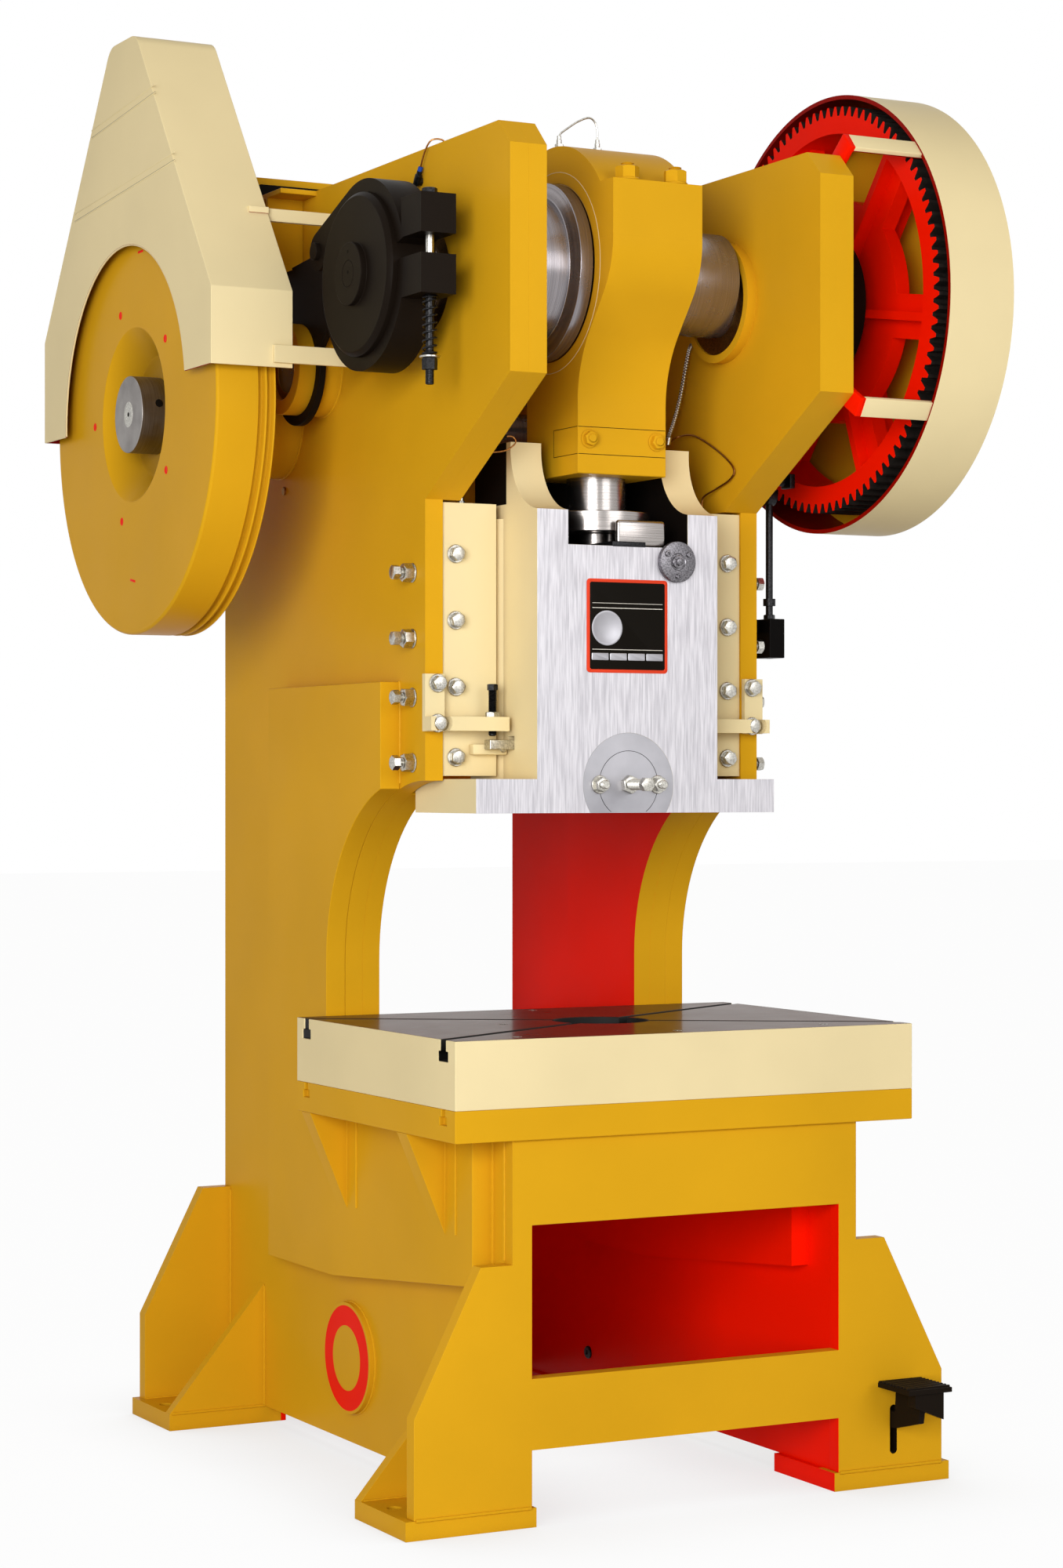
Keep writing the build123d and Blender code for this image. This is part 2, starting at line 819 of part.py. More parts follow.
# Square-on adjusting screws that press the gibs from the sides, with lock nuts
with BuildPart() as gib_adjusting_screws:
    for side in (LEFT, RIGHT):
        for z in adjuster_z:
            centre = (vee_y, z)
            head_end = adjuster_head_x + adjuster_head_h
            x_bar(side * inner_x, side * (head_end - 1), centre, adjuster_r)
            facing = (side, 0, 0)
            hex_prism(Plane(origin=(side * outer_x, vee_y, z), x_dir=(0, 1, 0), z_dir=facing),
                      adjuster_nut_af, adjuster_nut_h)
            hex_prism(Plane(origin=(side * adjuster_head_x, vee_y, z), x_dir=(0, 1, 0),
                            z_dir=facing), bolt_head_af, adjuster_head_h)
gib_adjusting_screws.part.label = "gib_adjusting_screws"
export_step(gib_adjusting_screws.part, "parts/gib_adjusting_screws.step")

# Knock-out brackets: a leg on the guide strip and an arm in front of the gib
arm_mid_y = sum(bracket_arm_y) / 2
for side, name in SIDES:
    with BuildPart() as bracket:
        block((side * bracket_leg_x[0], side * bracket_leg_x[1]),
              (strip_front_y - bracket_t, strip_front_y), bracket_leg_z)
        block((side * bracket_arm_x, side * bracket_leg_x[1]), bracket_arm_y, bracket_arm_z)
        for z in bracket_bolt_z:
            y_bar(strip_front_y - bracket_t, strip_front_y, side * bracket_bolt_x, z,
                  bolt_r + hole_play, Mode.SUBTRACT)
        y_bar(bracket_arm_y[0], bracket_arm_y[1], side * bracket_bolt_x, bracket_bolt_z[1],
              washer_r + 1, Mode.SUBTRACT)
        z_bar(bracket_arm_z[0], bracket_arm_z[1], side * knock_x, arm_mid_y,
              knock_r + hole_play, Mode.SUBTRACT)
    bracket.part.label = f"knockout_bracket_{name}"
    export_step(bracket.part, f"parts/knockout_bracket_{name}.step")

# Knock-out screws with lock nuts
with BuildPart() as knockout_screws:
    for side in (LEFT, RIGHT):
        x = side * knock_x
        z_bar(knock_tip_z, knock_top_z - 6, x, arm_mid_y, knock_r)
        hex_prism(Plane(origin=(x, arm_mid_y, bracket_arm_z[1])), bolt_head_af, knock_nut_h)
        hex_prism(Plane(origin=(x, arm_mid_y, knock_top_z - 10)), bolt_head_af * 0.75, 10)
knockout_screws.part.label = "knockout_screws"
export_step(knockout_screws.part, "parts/knockout_screws.step")

# Crank bushes in the frame
crank_bush_x = inner_x - boss_ring_h + crank_bush_lip
with BuildPart() as crank_bushes:
    for side in (LEFT, RIGHT):
        x_bar(side * crank_bush_x, side * outer_x, crank_centre, crank_bush_r)
        x_bar(side * crank_bush_x, side * outer_x, crank_centre, journal_r + running_fit,
              Mode.SUBTRACT)
crank_bushes.part.label = "crank_bushes"
export_step(crank_bushes.part, "parts/crank_bushes.step")

# Housings of the pinion shaft
for side, name in SIDES:
    with BuildPart() as housing:
        x_bar(side * inner_x, side * housing_x, pinion_centre, housing_r)
        x_bar(side * inner_x, side * housing_x, pinion_centre, shaft_bush_r, Mode.SUBTRACT)
    housing.part.label = f"pinion_housing_{name}"
    export_step(housing.part, f"parts/pinion_housing_{name}.step")

# Bushes of the flywheel shaft and the pinion shaft, all alike
with BuildPart() as shaft_bushes:
    for centre, end_x in ((wheel_centre, wheel_boss_x), (pinion_centre, housing_x)):
        for side in (LEFT, RIGHT):
            bush_x = (side * (end_x - 12 - shaft_bush_l), side * (end_x - 12))
            x_bar(*bush_x, centre, shaft_bush_r)
            x_bar(*bush_x, centre, shaft_r + running_fit, Mode.SUBTRACT)
shaft_bushes.part.label = "shaft_bushes"
export_step(shaft_bushes.part, "parts/shaft_bushes.step")

# Crankshaft: stepped journals with the eccentric between the frame's arms
with BuildPart() as crankshaft:
    pin_x = inner_x - boss_ring_h - 6
    x_bar(drum_left_x - drum_hub_stand + 4, 0, crank_centre, drum_seat_r)
    x_bar(-outer_x - 4, outer_x + 4, crank_centre, journal_r)
    x_bar(0, bull_x + bull_face + 20, crank_centre, crank_end_r)
    x_bar(-pin_x, pin_x, pin_centre, pin_r)
crankshaft.part.label = "crankshaft"
export_step(crankshaft.part, "parts/crankshaft.step")

# Eccentric sleeve on the crank pin, with its stepped collar on the left
with BuildPart() as eccentric_sleeve:
    flange_x = -rod_half - 2
    revolve(
        turned(
            pin_centre,
            [
                (-pin_x + 2, pin_r),
                (-pin_x + 2, sleeve_body_r - 8),
                (-pin_x + 10, sleeve_body_r),
                (flange_x - 34, sleeve_body_r),
                (flange_x - 26, sleeve_r + 14),
                (flange_x, sleeve_r + 14),
                (flange_x, sleeve_r),
                (rod_half + 2, sleeve_r),
                (rod_half + 2, pin_r),
            ],
        ),
        axis=x_axis(pin_centre),
    )
eccentric_sleeve.part.label = "eccentric_sleeve"
export_step(eccentric_sleeve.part, "parts/eccentric_sleeve.step")

# Brake drum on the left end of the crank
with BuildPart() as brake_drum:
    revolve(
        turned(
            crank_centre,
            [
                (drum_left_x - drum_hub_stand, drum_seat_r - 21),
                (drum_left_x - drum_hub_stand, drum_hub_r),
                (drum_left_x, drum_hub_r),
                (drum_left_x, drum_r - 8),
                (drum_left_x + 8, drum_r),
                (drum_right_x, drum_r),
                (drum_right_x, drum_r - 20),
                (drum_right_x - 24, drum_r - 26),
                (drum_right_x - 24, drum_seat_r + 24),
                (drum_right_x + 30, drum_seat_r + 24),
                (drum_right_x + 30, drum_seat_r),
                (drum_left_x - drum_hub_stand + 4, drum_seat_r),
                (drum_left_x - drum_hub_stand + 4, drum_seat_r - 21),
            ],
        ),
        axis=x_axis(crank_centre),
    )
brake_drum.part.label = "brake_drum"
export_step(brake_drum.part, "parts/brake_drum.step")

# Connecting rod: the big end narrows to the ball screw's clamp
bore_r = sleeve_r + running_fit + rod_bush_t
split_z = pin_centre[1] + rod_split_rise
with BuildPart() as connecting_rod:
    with BuildSketch(Plane.YZ.offset(-rod_half)) as rod_side:
        with BuildLine():
            Polyline(
                (crank_y - rod_small_half, rod_low_z),
                (crank_y - rod_small_half, rod_neck_z),
                (crank_y - rod_big_half, rod_shoulder_z),
                (crank_y - rod_big_half, split_z),
                (crank_y + rod_big_half, split_z),
                (crank_y + rod_big_half, rod_shoulder_z),
                (crank_y + rod_small_half, rod_neck_z),
                (crank_y + rod_small_half, rod_low_z),
                close=True,
            )
        make_face()
        neck = rod_side.vertices().filter_by_position(Axis.Y, rod_neck_z - 1, rod_neck_z + 1)
        shoulder = rod_side.vertices().filter_by_position(Axis.Y, rod_shoulder_z - 1,
                                                          rod_shoulder_z + 1)
        fillet(neck, rod_neck_fillet)
        fillet(shoulder, rod_shoulder_fillet)
    extrude(amount=2 * rod_half)
    x_bar(-rod_half, rod_half, pin_centre, bore_r, Mode.SUBTRACT)
    z_bar(rod_low_z, rod_low_z + screw_grip, 0, crank_y, screw_r, Mode.SUBTRACT)
    for x in clamp_rod_x:
        y_bar(crank_y - rod_small_half, crank_y + rod_small_half, x, clamp_rod_z,
              bolt_r + hole_play, Mode.SUBTRACT)
    for x in (-cap_bolt_x, cap_bolt_x):
        for y in (crank_y - cap_bolt_y, crank_y + cap_bolt_y):
            z_bar(split_z - cap_bolt_grip, split_z, x, y, cap_bolt_r + hole_play, Mode.SUBTRACT)
connecting_rod.part.label = "connecting_rod"
export_step(connecting_rod.part, "parts/connecting_rod.step")

# Rod cap with its crown and bolt shoulders
with BuildPart() as rod_cap:
    with BuildSketch(Plane.YZ.offset(-rod_half)):
        with Locations((crank_y, pin_centre[1])):
            Circle(rod_big_half)
        with Locations((crank_y, (split_z + cap_shoulder_z) / 2)):
            Rectangle(2 * rod_big_half, cap_shoulder_z - split_z)
        with Locations((crank_y, split_z - rod_big_half)):
            Rectangle(2 * rod_big_half + 2, 2 * rod_big_half, mode=Mode.SUBTRACT)
    extrude(amount=2 * rod_half)
    x_bar(-rod_half, rod_half, pin_centre, bore_r, Mode.SUBTRACT)
    for x in (-cap_bolt_x, cap_bolt_x):
        for y in (crank_y - cap_bolt_y, crank_y + cap_bolt_y):
            z_bar(split_z, cap_shoulder_z, x, y, cap_bolt_r + hole_play, Mode.SUBTRACT)
rod_cap.part.label = "rod_cap"
export_step(rod_cap.part, "parts/rod_cap.step")

# Bush between the rod and the eccentric sleeve
with BuildPart() as rod_bush:
    x_bar(-rod_half, rod_half, pin_centre, bore_r)
    x_bar(-rod_half, rod_half, pin_centre, sleeve_r + running_fit, Mode.SUBTRACT)
rod_bush.part.label = "rod_bush"
export_step(rod_bush.part, "parts/rod_bush.step")

# Studs and nuts of the rod cap
with BuildPart() as cap_bolts:
    for x in (-cap_bolt_x, cap_bolt_x):
        for y in (crank_y - cap_bolt_y, crank_y + cap_bolt_y):
            z_bar(split_z - cap_bolt_grip, cap_shoulder_z + cap_nut_h + 6, x, y, cap_bolt_r)
            hex_prism(Plane(origin=(x, y, cap_shoulder_z)), cap_nut_af, cap_nut_h)
cap_bolts.part.label = "cap_bolts"
export_step(cap_bolts.part, "parts/cap_bolts.step")

# Bolts that clamp the ball screw in the rod
with BuildPart() as clamp_bolts:
    front_y = crank_y - rod_small_half
    back_y = crank_y + rod_small_half
    for x in clamp_rod_x:
        y_bar(front_y - 4, back_y + 14, x, clamp_rod_z, bolt_r)
        hex_prism(front_plane(x, front_y, clamp_rod_z), bolt_head_af, bolt_head_h)
        hex_prism(Plane(origin=(x, back_y, clamp_rod_z), x_dir=(1, 0, 0), z_dir=(0, 1, 0)),
                  bolt_head_af, bolt_head_h - 3)
clamp_bolts.part.label = "clamp_bolts"
export_step(clamp_bolts.part, "parts/clamp_bolts.step")

# Ball screw: thread, adjusting collar, neck and ball
with BuildPart() as ball_screw:
    z_bar(screw_collar_z, rod_low_z + screw_grip, 0, crank_y, screw_r)
    z_bar(screw_collar_z - screw_collar_h, screw_collar_z, 0, crank_y, screw_collar_r)
    z_bar(ball_z, screw_collar_z - screw_collar_h, 0, crank_y, neck_r)
    with Locations((0, crank_y, ball_z)):
        Sphere(ball_r)
ball_screw.part.label = "ball_screw"
export_step(ball_screw.part, "parts/ball_screw.step")

# Ram: body with horns, open pocket, vee ways, flange and shank hole
with BuildPart() as ram:
    block((-ram_half, ram_half), (ram_front_y, ram_rear_y), (ram_low_z, ram_top_z))
    horn_rise = horn_top_z - ram_top_z
    horn_run = horn_front_y - ram_front_y
    with BuildSketch(Plane.YZ.offset(-ram_half)):
        with BuildLine():
            Polyline(
                (ram_front_y, ram_top_z - 1),
                (ram_rear_y, ram_top_z - 1),
                (ram_rear_y, horn_top_z),
                (horn_front_y, horn_top_z),
            )
            ThreePointArc(
                (horn_front_y, horn_top_z),
                (ram_front_y + horn_run * cos(pi / 4), horn_top_z - horn_rise * sin(pi / 4)),
                (ram_front_y, ram_top_z),
            )
            Line((ram_front_y, ram_top_z), (ram_front_y, ram_top_z - 1))
        make_face()
    extrude(amount=2 * ram_half)
    vee = polygon(
        Plane.XY.offset(ram_low_z + flange_t),
        [
            (-ram_half, vee_y - vee_half),
            (ram_half, vee_y - vee_half),
            (ram_half + vee_half, vee_y),
            (ram_half, vee_y + vee_half),
            (-ram_half, vee_y + vee_half),
            (-ram_half - vee_half, vee_y),
        ],
    )
    extrude(vee, amount=ram_top_z - ram_low_z - flange_t - 10)
    pocket_back_y = ram_rear_y - pocket_wall_t
    block((-pocket_half, pocket_half), (ram_front_y, pocket_back_y),
          (pocket_floor_z, horn_top_z), Mode.SUBTRACT)
    block((-pocket_half, pocket_half), (pocket_back_y, ram_rear_y),
          (pocket_wall_top_z, horn_top_z), Mode.SUBTRACT)
    block((-flange_half, flange_half), (ram_front_y, ram_rear_y),
          (ram_low_z, ram_low_z + flange_t))
    z_bar(cup_low_z, pocket_floor_z, 0, crank_y, cup_r, Mode.SUBTRACT)
    z_bar(ram_low_z, ram_low_z + shank_depth, 0, crank_y, shank_r, Mode.SUBTRACT)
    clamp_back_y = ram_front_y + clamp_depth
    y_bar(ram_front_y, clamp_back_y, 0, clamp_z, clamp_r + hole_play, Mode.SUBTRACT)
    y_bar(clamp_back_y, crank_y, 0, clamp_z, clamp_neck_r + hole_play, Mode.SUBTRACT)
    neck_half = clamp_neck_r + hole_play
    block((-neck_half, neck_half), (clamp_back_y, crank_y), (ram_low_z, clamp_z), Mode.SUBTRACT)
    for x in (-clamp_bolt_x, clamp_bolt_x):
        y_bar(clamp_back_y, clamp_back_y + 30, x, clamp_z, bolt_r + hole_play, Mode.SUBTRACT)
    slot_half = bar_w / 2 + free_gap
    block((-ram_half, ram_half), (arm_mid_y - slot_half, arm_mid_y + slot_half),
          (bar_low_z, bar_low_z + bar_h + bar_lift + 1), Mode.SUBTRACT)
ram.part.label = "ram"
export_step(ram.part, "parts/ram.step")

# Cup in the ram that holds the ball, long enough for the ball's swing to the front
with BuildPart() as ball_cup:
    z_bar(cup_low_z, pocket_floor_z, 0, crank_y, cup_r)
    cavity_r = ball_r + linear_slack + 0.5
    throat_play = neck_r + linear_slack
    y_bar(crank_y - eccentric, crank_y, 0, ball_z, cavity_r, Mode.SUBTRACT)
    with Locations((0, crank_y, ball_z), (0, crank_y - eccentric, ball_z)):
        Sphere(cavity_r, mode=Mode.SUBTRACT)
    z_bar(ball_z, pocket_floor_z, 0, crank_y, throat_play, Mode.SUBTRACT)
    z_bar(ball_z, pocket_floor_z, 0, crank_y - eccentric, throat_play, Mode.SUBTRACT)
    block((-throat_play, throat_play), (crank_y - eccentric, crank_y), (ball_z, pocket_floor_z),
          Mode.SUBTRACT)
ball_cup.part.label = "ball_cup"
export_step(ball_cup.part, "parts/ball_cup.step")

# Clamp that holds a tool's shank in the ram
with BuildPart() as shank_clamp:
    y_bar(ram_front_y, clamp_back_y, 0, clamp_z, clamp_r)
    y_bar(clamp_back_y, crank_y, 0, clamp_z, clamp_neck_r)
    block((-clamp_neck_r, clamp_neck_r), (clamp_back_y, crank_y), (ram_low_z, clamp_z))
    block((-clamp_r, clamp_r), (ram_front_y, crank_y), (clamp_z - clamp_r, ram_low_z),
          Mode.SUBTRACT)
    z_bar(ram_low_z, ram_low_z + shank_depth, 0, crank_y, shank_r, Mode.SUBTRACT)
    y_bar(ram_front_y, crank_y, 0, clamp_z, set_screw_r + hole_play, Mode.SUBTRACT)
    for x in (-clamp_bolt_x, clamp_bolt_x):
        y_bar(ram_front_y, clamp_back_y, x, clamp_z, bolt_r + hole_play, Mode.SUBTRACT)
shank_clamp.part.label = "shank_clamp"
export_step(shank_clamp.part, "parts/shank_clamp.step")

# Studs and nuts of the clamp, and its set screw with a lock nut
with BuildPart() as shank_bolts:
    for x in (-clamp_bolt_x, clamp_bolt_x):
        y_bar(ram_front_y - 26, clamp_back_y + 30, x, clamp_z, bolt_r)
        hex_prism(front_plane(x, ram_front_y, clamp_z), bolt_head_af, bolt_head_h + 3)
    y_bar(ram_front_y - set_screw_stand + 5, crank_y - shank_r - 1, 0, clamp_z, set_screw_r)
    hex_prism(front_plane(0, ram_front_y, clamp_z), adjuster_nut_af, bolt_head_h)
    head_y = ram_front_y - set_screw_stand + bolt_head_h
    hex_prism(front_plane(0, head_y, clamp_z), bolt_head_af, bolt_head_h)
shank_bolts.part.label = "shank_bolts"
export_step(shank_bolts.part, "parts/shank_bolts.step")

# Cap over the screw lock, on the ram's front
with BuildPart() as adjuster_cap:
    y_bar(ram_front_y - cap_t, ram_front_y, cap_x, cap_z, cap_r)
    chamfer(adjuster_cap.edges().filter_by(GeomType.CIRCLE).group_by(Axis.Y)[0], 2)
adjuster_cap.part.label = "adjuster_cap"
export_step(adjuster_cap.part, "parts/adjuster_cap.step")

# Knock-out bar across the ram
with BuildPart() as knockout_bar:
    block((-bar_half, bar_half), (arm_mid_y - bar_w / 2, arm_mid_y + bar_w / 2),
          (bar_low_z, bar_low_z + bar_h))
knockout_bar.part.label = "knockout_bar"
export_step(knockout_bar.part, "parts/knockout_bar.step")

# Bull gear: toothed rim, recessed web with six ribbed spokes, and hub
bull_to_pinion = direction(crank_centre, pinion_centre)
with BuildPart() as bull_gear:
    plane = gear_plane(bull_x, crank_centre)
    extrude(gear_outline(plane, bull_teeth, bull_module, bull_to_pinion + 180 / bull_teeth),
            amount=bull_face)
    x_bar(bull_x, bull_x + bull_face, crank_centre, gear_rim_r, Mode.SUBTRACT)
    x_bar(gear_web_x, gear_web_x + gear_web_t, crank_centre, gear_web_r)
    x_bar(bull_x, bull_x + bull_face, crank_centre, gear_hub_r)
    with BuildSketch(gear_plane(gear_web_x, crank_centre)):
        with PolarLocations(0, spoke_count, start_angle=180 - spoke_first):
            with Locations((gear_rim_r / 2 + 2, 0)):
                Rectangle(gear_rim_r + 4, 2 * spoke_half)
    extrude(amount=gear_web_t)
    with BuildSketch(plane):
        with PolarLocations(0, spoke_count, start_angle=180 - spoke_first):
            with Locations(((gear_hub_r + gear_rim_r) / 2, 0)):
                Rectangle(gear_rim_r - gear_hub_r + 8, rib_t)
    extrude(amount=bull_face)
    x_bar(bull_x, bull_x + bull_face, crank_centre, crank_end_r + running_fit, Mode.SUBTRACT)
bull_gear.part.label = "bull_gear"
export_step(bull_gear.part, "parts/bull_gear.step")

# Clutch housing on the gear's inner side
with BuildPart() as clutch_housing:
    revolve(
        turned(
            crank_centre,
            [
                (clutch_x, crank_end_r + 2),
                (clutch_x, clutch_r - 20),
                (clutch_x + 20, clutch_r),
                (bull_x, clutch_r),
                (bull_x, crank_end_r + 2),
            ],
        ),
        axis=x_axis(crank_centre),
    )
clutch_housing.part.label = "clutch_housing"
export_step(clutch_housing.part, "parts/clutch_housing.step")

# Pinion shaft, with the pinion that drives the bull gear cut on it
pinion_play = 5
with BuildPart() as pinion_shaft:
    x_bar(-housing_x + 14, bull_x + bull_face + 25, pinion_centre, shaft_r)
    plane = gear_plane(bull_x - pinion_play, pinion_centre)
    extrude(gear_outline(plane, pinion_teeth, bull_module, bull_to_pinion + 180),
            amount=bull_face + 2 * pinion_play)
pinion_shaft.part.label = "pinion_shaft"
export_step(pinion_shaft.part, "parts/pinion_shaft.step")

# First reduction gear, on the pinion shaft between the side plates
first_to_wheel = direction(pinion_centre, wheel_centre)
with BuildPart() as intermediate_gear:
    plane = gear_plane(first_x, pinion_centre)
    extrude(gear_outline(plane, first_teeth, first_module, first_to_wheel + 180 / first_teeth),
            amount=first_face)
    x_bar(first_x - 20, first_x + first_face + 20, pinion_centre, shaft_r + 30)
    x_bar(first_x - 20, first_x + first_face + 20, pinion_centre, shaft_r, Mode.SUBTRACT)
intermediate_gear.part.label = "intermediate_gear"
export_step(intermediate_gear.part, "parts/intermediate_gear.step")

# Flywheel shaft, with the first pinion cut on it
with BuildPart() as flywheel_shaft:
    x_bar(wheel_face_x - collar_stand + 4, wheel_boss_x + 2, wheel_centre, shaft_r)
    plane = gear_plane(first_x - pinion_play, wheel_centre)
    extrude(gear_outline(plane, first_pinion_teeth, first_module, first_to_wheel + 180),
            amount=first_face + 2 * pinion_play)
flywheel_shaft.part.label = "flywheel_shaft"
export_step(flywheel_shaft.part, "parts/flywheel_shaft.step")

# Flywheel: dished front, heavy rim and belt grooves at the rear of the rim
dish_floor_x = wheel_face_x + wheel_dish_depth
wheel_rear_x = wheel_face_x + wheel_width
with BuildPart() as flywheel:
    outline = [
        (dish_floor_x, shaft_r),
        (dish_floor_x, wheel_dish_floor_r),
        (wheel_face_x, wheel_dish_r),
        (wheel_face_x, wheel_r - 4),
        (wheel_face_x + 4, wheel_r),
    ]
    for groove in range(belt_grooves):
        groove_x = wheel_rear_x - (groove + 1) * (belt_groove_w + 4)
        start_x = groove_x + 1
        outline += [
            (start_x, wheel_r),
            (start_x + 3, wheel_r - belt_groove_depth),
            (start_x + belt_groove_w - 3, wheel_r - belt_groove_depth),
            (start_x + belt_groove_w, wheel_r),
        ]
    outline[5:] = sorted(outline[5:])
    outline += [
        (wheel_rear_x, wheel_r),
        (wheel_rear_x, wheel_r - wheel_rim_t),
        (dish_floor_x + wheel_web_t, wheel_r - wheel_rim_t - 8),
        (dish_floor_x + wheel_web_t, wheel_hub_r),
        (wheel_rear_x, wheel_hub_r - 10),
        (wheel_rear_x, shaft_r + 28),
        (wheel_hub_end_x, shaft_r + 22),
        (wheel_hub_end_x, shaft_r),
    ]
    revolve(turned(wheel_centre, outline), axis=x_axis(wheel_centre))
    with BuildSketch(gear_plane(wheel_face_x, wheel_centre)):
        with PolarLocations(wheel_hole_ring_r, wheel_holes, start_angle=wheel_hole_first):
            RegularPolygon(wheel_hole_r, 12)
    extrude(amount=wheel_hole_depth, mode=Mode.SUBTRACT)
flywheel.part.label = "flywheel"
export_step(flywheel.part, "parts/flywheel.step")

# Steel collar that locks the flywheel on its shaft
with BuildPart() as flywheel_collar:
    x_bar(wheel_face_x - collar_stand, dish_floor_x, wheel_centre, collar_r)
    x_bar(wheel_face_x - collar_stand + 4, dish_floor_x, wheel_centre, shaft_r, Mode.SUBTRACT)
    x_bar(wheel_face_x - collar_stand, dish_floor_x, wheel_centre, 12, Mode.SUBTRACT)
flywheel_collar.part.label = "flywheel_collar"
export_step(flywheel_collar.part, "parts/flywheel_collar.step")


def guard_outline(x, inset, drop):
    """Outline of the belt guard at x: upright sides that slope in to a rounded top."""
    half = guard_half_width - inset
    with BuildSketch(Plane.YZ.offset(x)) as outline:
        with BuildLine():
            Polyline(
                (wheel_y - half, guard_front_low_z - drop),
                (wheel_y - half, guard_shoulder_z),
                (wheel_y - guard_top_half + inset / 2, guard_top_z - inset),
                (wheel_y + guard_top_half - inset / 2, guard_top_z - inset),
                (wheel_y + half, guard_shoulder_z),
                (wheel_y + half, guard_rear_low_z - drop),
                (wheel_y, guard_rear_low_z - drop),
                (wheel_y, guard_front_low_z - drop),
                close=True,
            )
        make_face()
        crown = outline.vertices().group_by(Axis.Y)[-1]
        fillet(crown, guard_crown_r - inset)
    return outline.sketch


# Belt guard: folded sheet with an open back and bottom, on two straps
with BuildPart() as belt_guard:
    extrude(guard_outline(guard_face_x, 0, 0), amount=guard_back_x - guard_face_x)
    extrude(guard_outline(guard_face_x + guard_sheet, guard_sheet, guard_open_depth),
            amount=guard_back_x - guard_face_x, mode=Mode.SUBTRACT)
    x_bar(guard_face_x, guard_face_x + guard_sheet, wheel_centre, guard_cut_r, Mode.SUBTRACT)
    front_edge_y = wheel_y - guard_half_width
    strap_x = (guard_back_x - strap_lap, -outer_x)
    strap_z = (guard_front_low_z + strap_t, guard_front_low_z + strap_t + strap_w)
    block(strap_x, (front_edge_y - strap_t, front_edge_y), strap_z)
    block((-outer_x - strap_t, -outer_x), (front_edge_y - strap_t, front_edge_y + strap_w),
          strap_z)
    upper_z = guard_shoulder_z + strap_share * (guard_top_z - guard_shoulder_z)
    slope = (guard_top_z - guard_shoulder_z) / (guard_half_width - guard_top_half)
    upper_y = front_edge_y + (upper_z - guard_shoulder_z) / slope
    block(strap_x, (upper_y + strap_t, upper_y + 2.5 * strap_t),
          (upper_z - 1.5 * strap_t, upper_z + 1.5 * strap_t))
    block((guard_back_x - strap_lap, guard_back_x), (upper_y - strap_t / 2, upper_y + 2.5 * strap_t),
          (upper_z, upper_z + 1.5 * strap_t))
belt_guard.part.label = "belt_guard"
export_step(belt_guard.part, "parts/belt_guard.step")

# Gear guard: rolled ring with a lobe round the pinion and a closed cover, on three stays
with BuildPart() as gear_guard:
    ring_outer_r = ring_r + ring_t
    for shell, end_x, mode in ((ring_t, ring_x + ring_width, Mode.ADD),
                               (0, ring_x + ring_width - cover_t, Mode.SUBTRACT)):
        x_bar(ring_x, end_x, crank_centre, ring_r + shell, mode)
        x_bar(ring_x, end_x, pinion_centre, pinion_lobe_r + shell, mode)
    for angle in stay_angles:
        polar = radians(180 - angle)
        stay_plane = Plane(origin=(outer_x, *crank_centre), x_dir=(0, cos(polar), sin(polar)),
                           z_dir=(1, 0, 0))
        with BuildSketch(stay_plane):
            with Locations(((stay_root_r + ring_outer_r) / 2, 0)):
                Rectangle(ring_outer_r - stay_root_r, stay_w)
        extrude(amount=stay_t)
        with BuildSketch(stay_plane):
            with Locations((ring_outer_r - stay_t / 2, 0)):
                Rectangle(stay_t, stay_w)
        extrude(amount=ring_x + 30 - outer_x)
gear_guard.part.label = "gear_guard"
export_step(gear_guard.part, "parts/gear_guard.step")

# Brake shoes: two half rings on one anchor pin, with ears for the brake bolt
pin_y = crank_y + anchor_distance * cos(radians(anchor_angle))
pin_z = crank_z + anchor_distance * sin(radians(anchor_angle))
shoe_mid_x = sum(shoe_x) / 2
tangent_turn = degrees(acos((shoe_r - anchor_eye_r) / anchor_distance))
shoe_split = 12


def on_drum(radius, angle):
    """(y, z) at a radius and a polar angle from the crank's centre."""
    return (crank_y + radius * cos(radians(angle)), crank_z + radius * sin(radians(angle)))


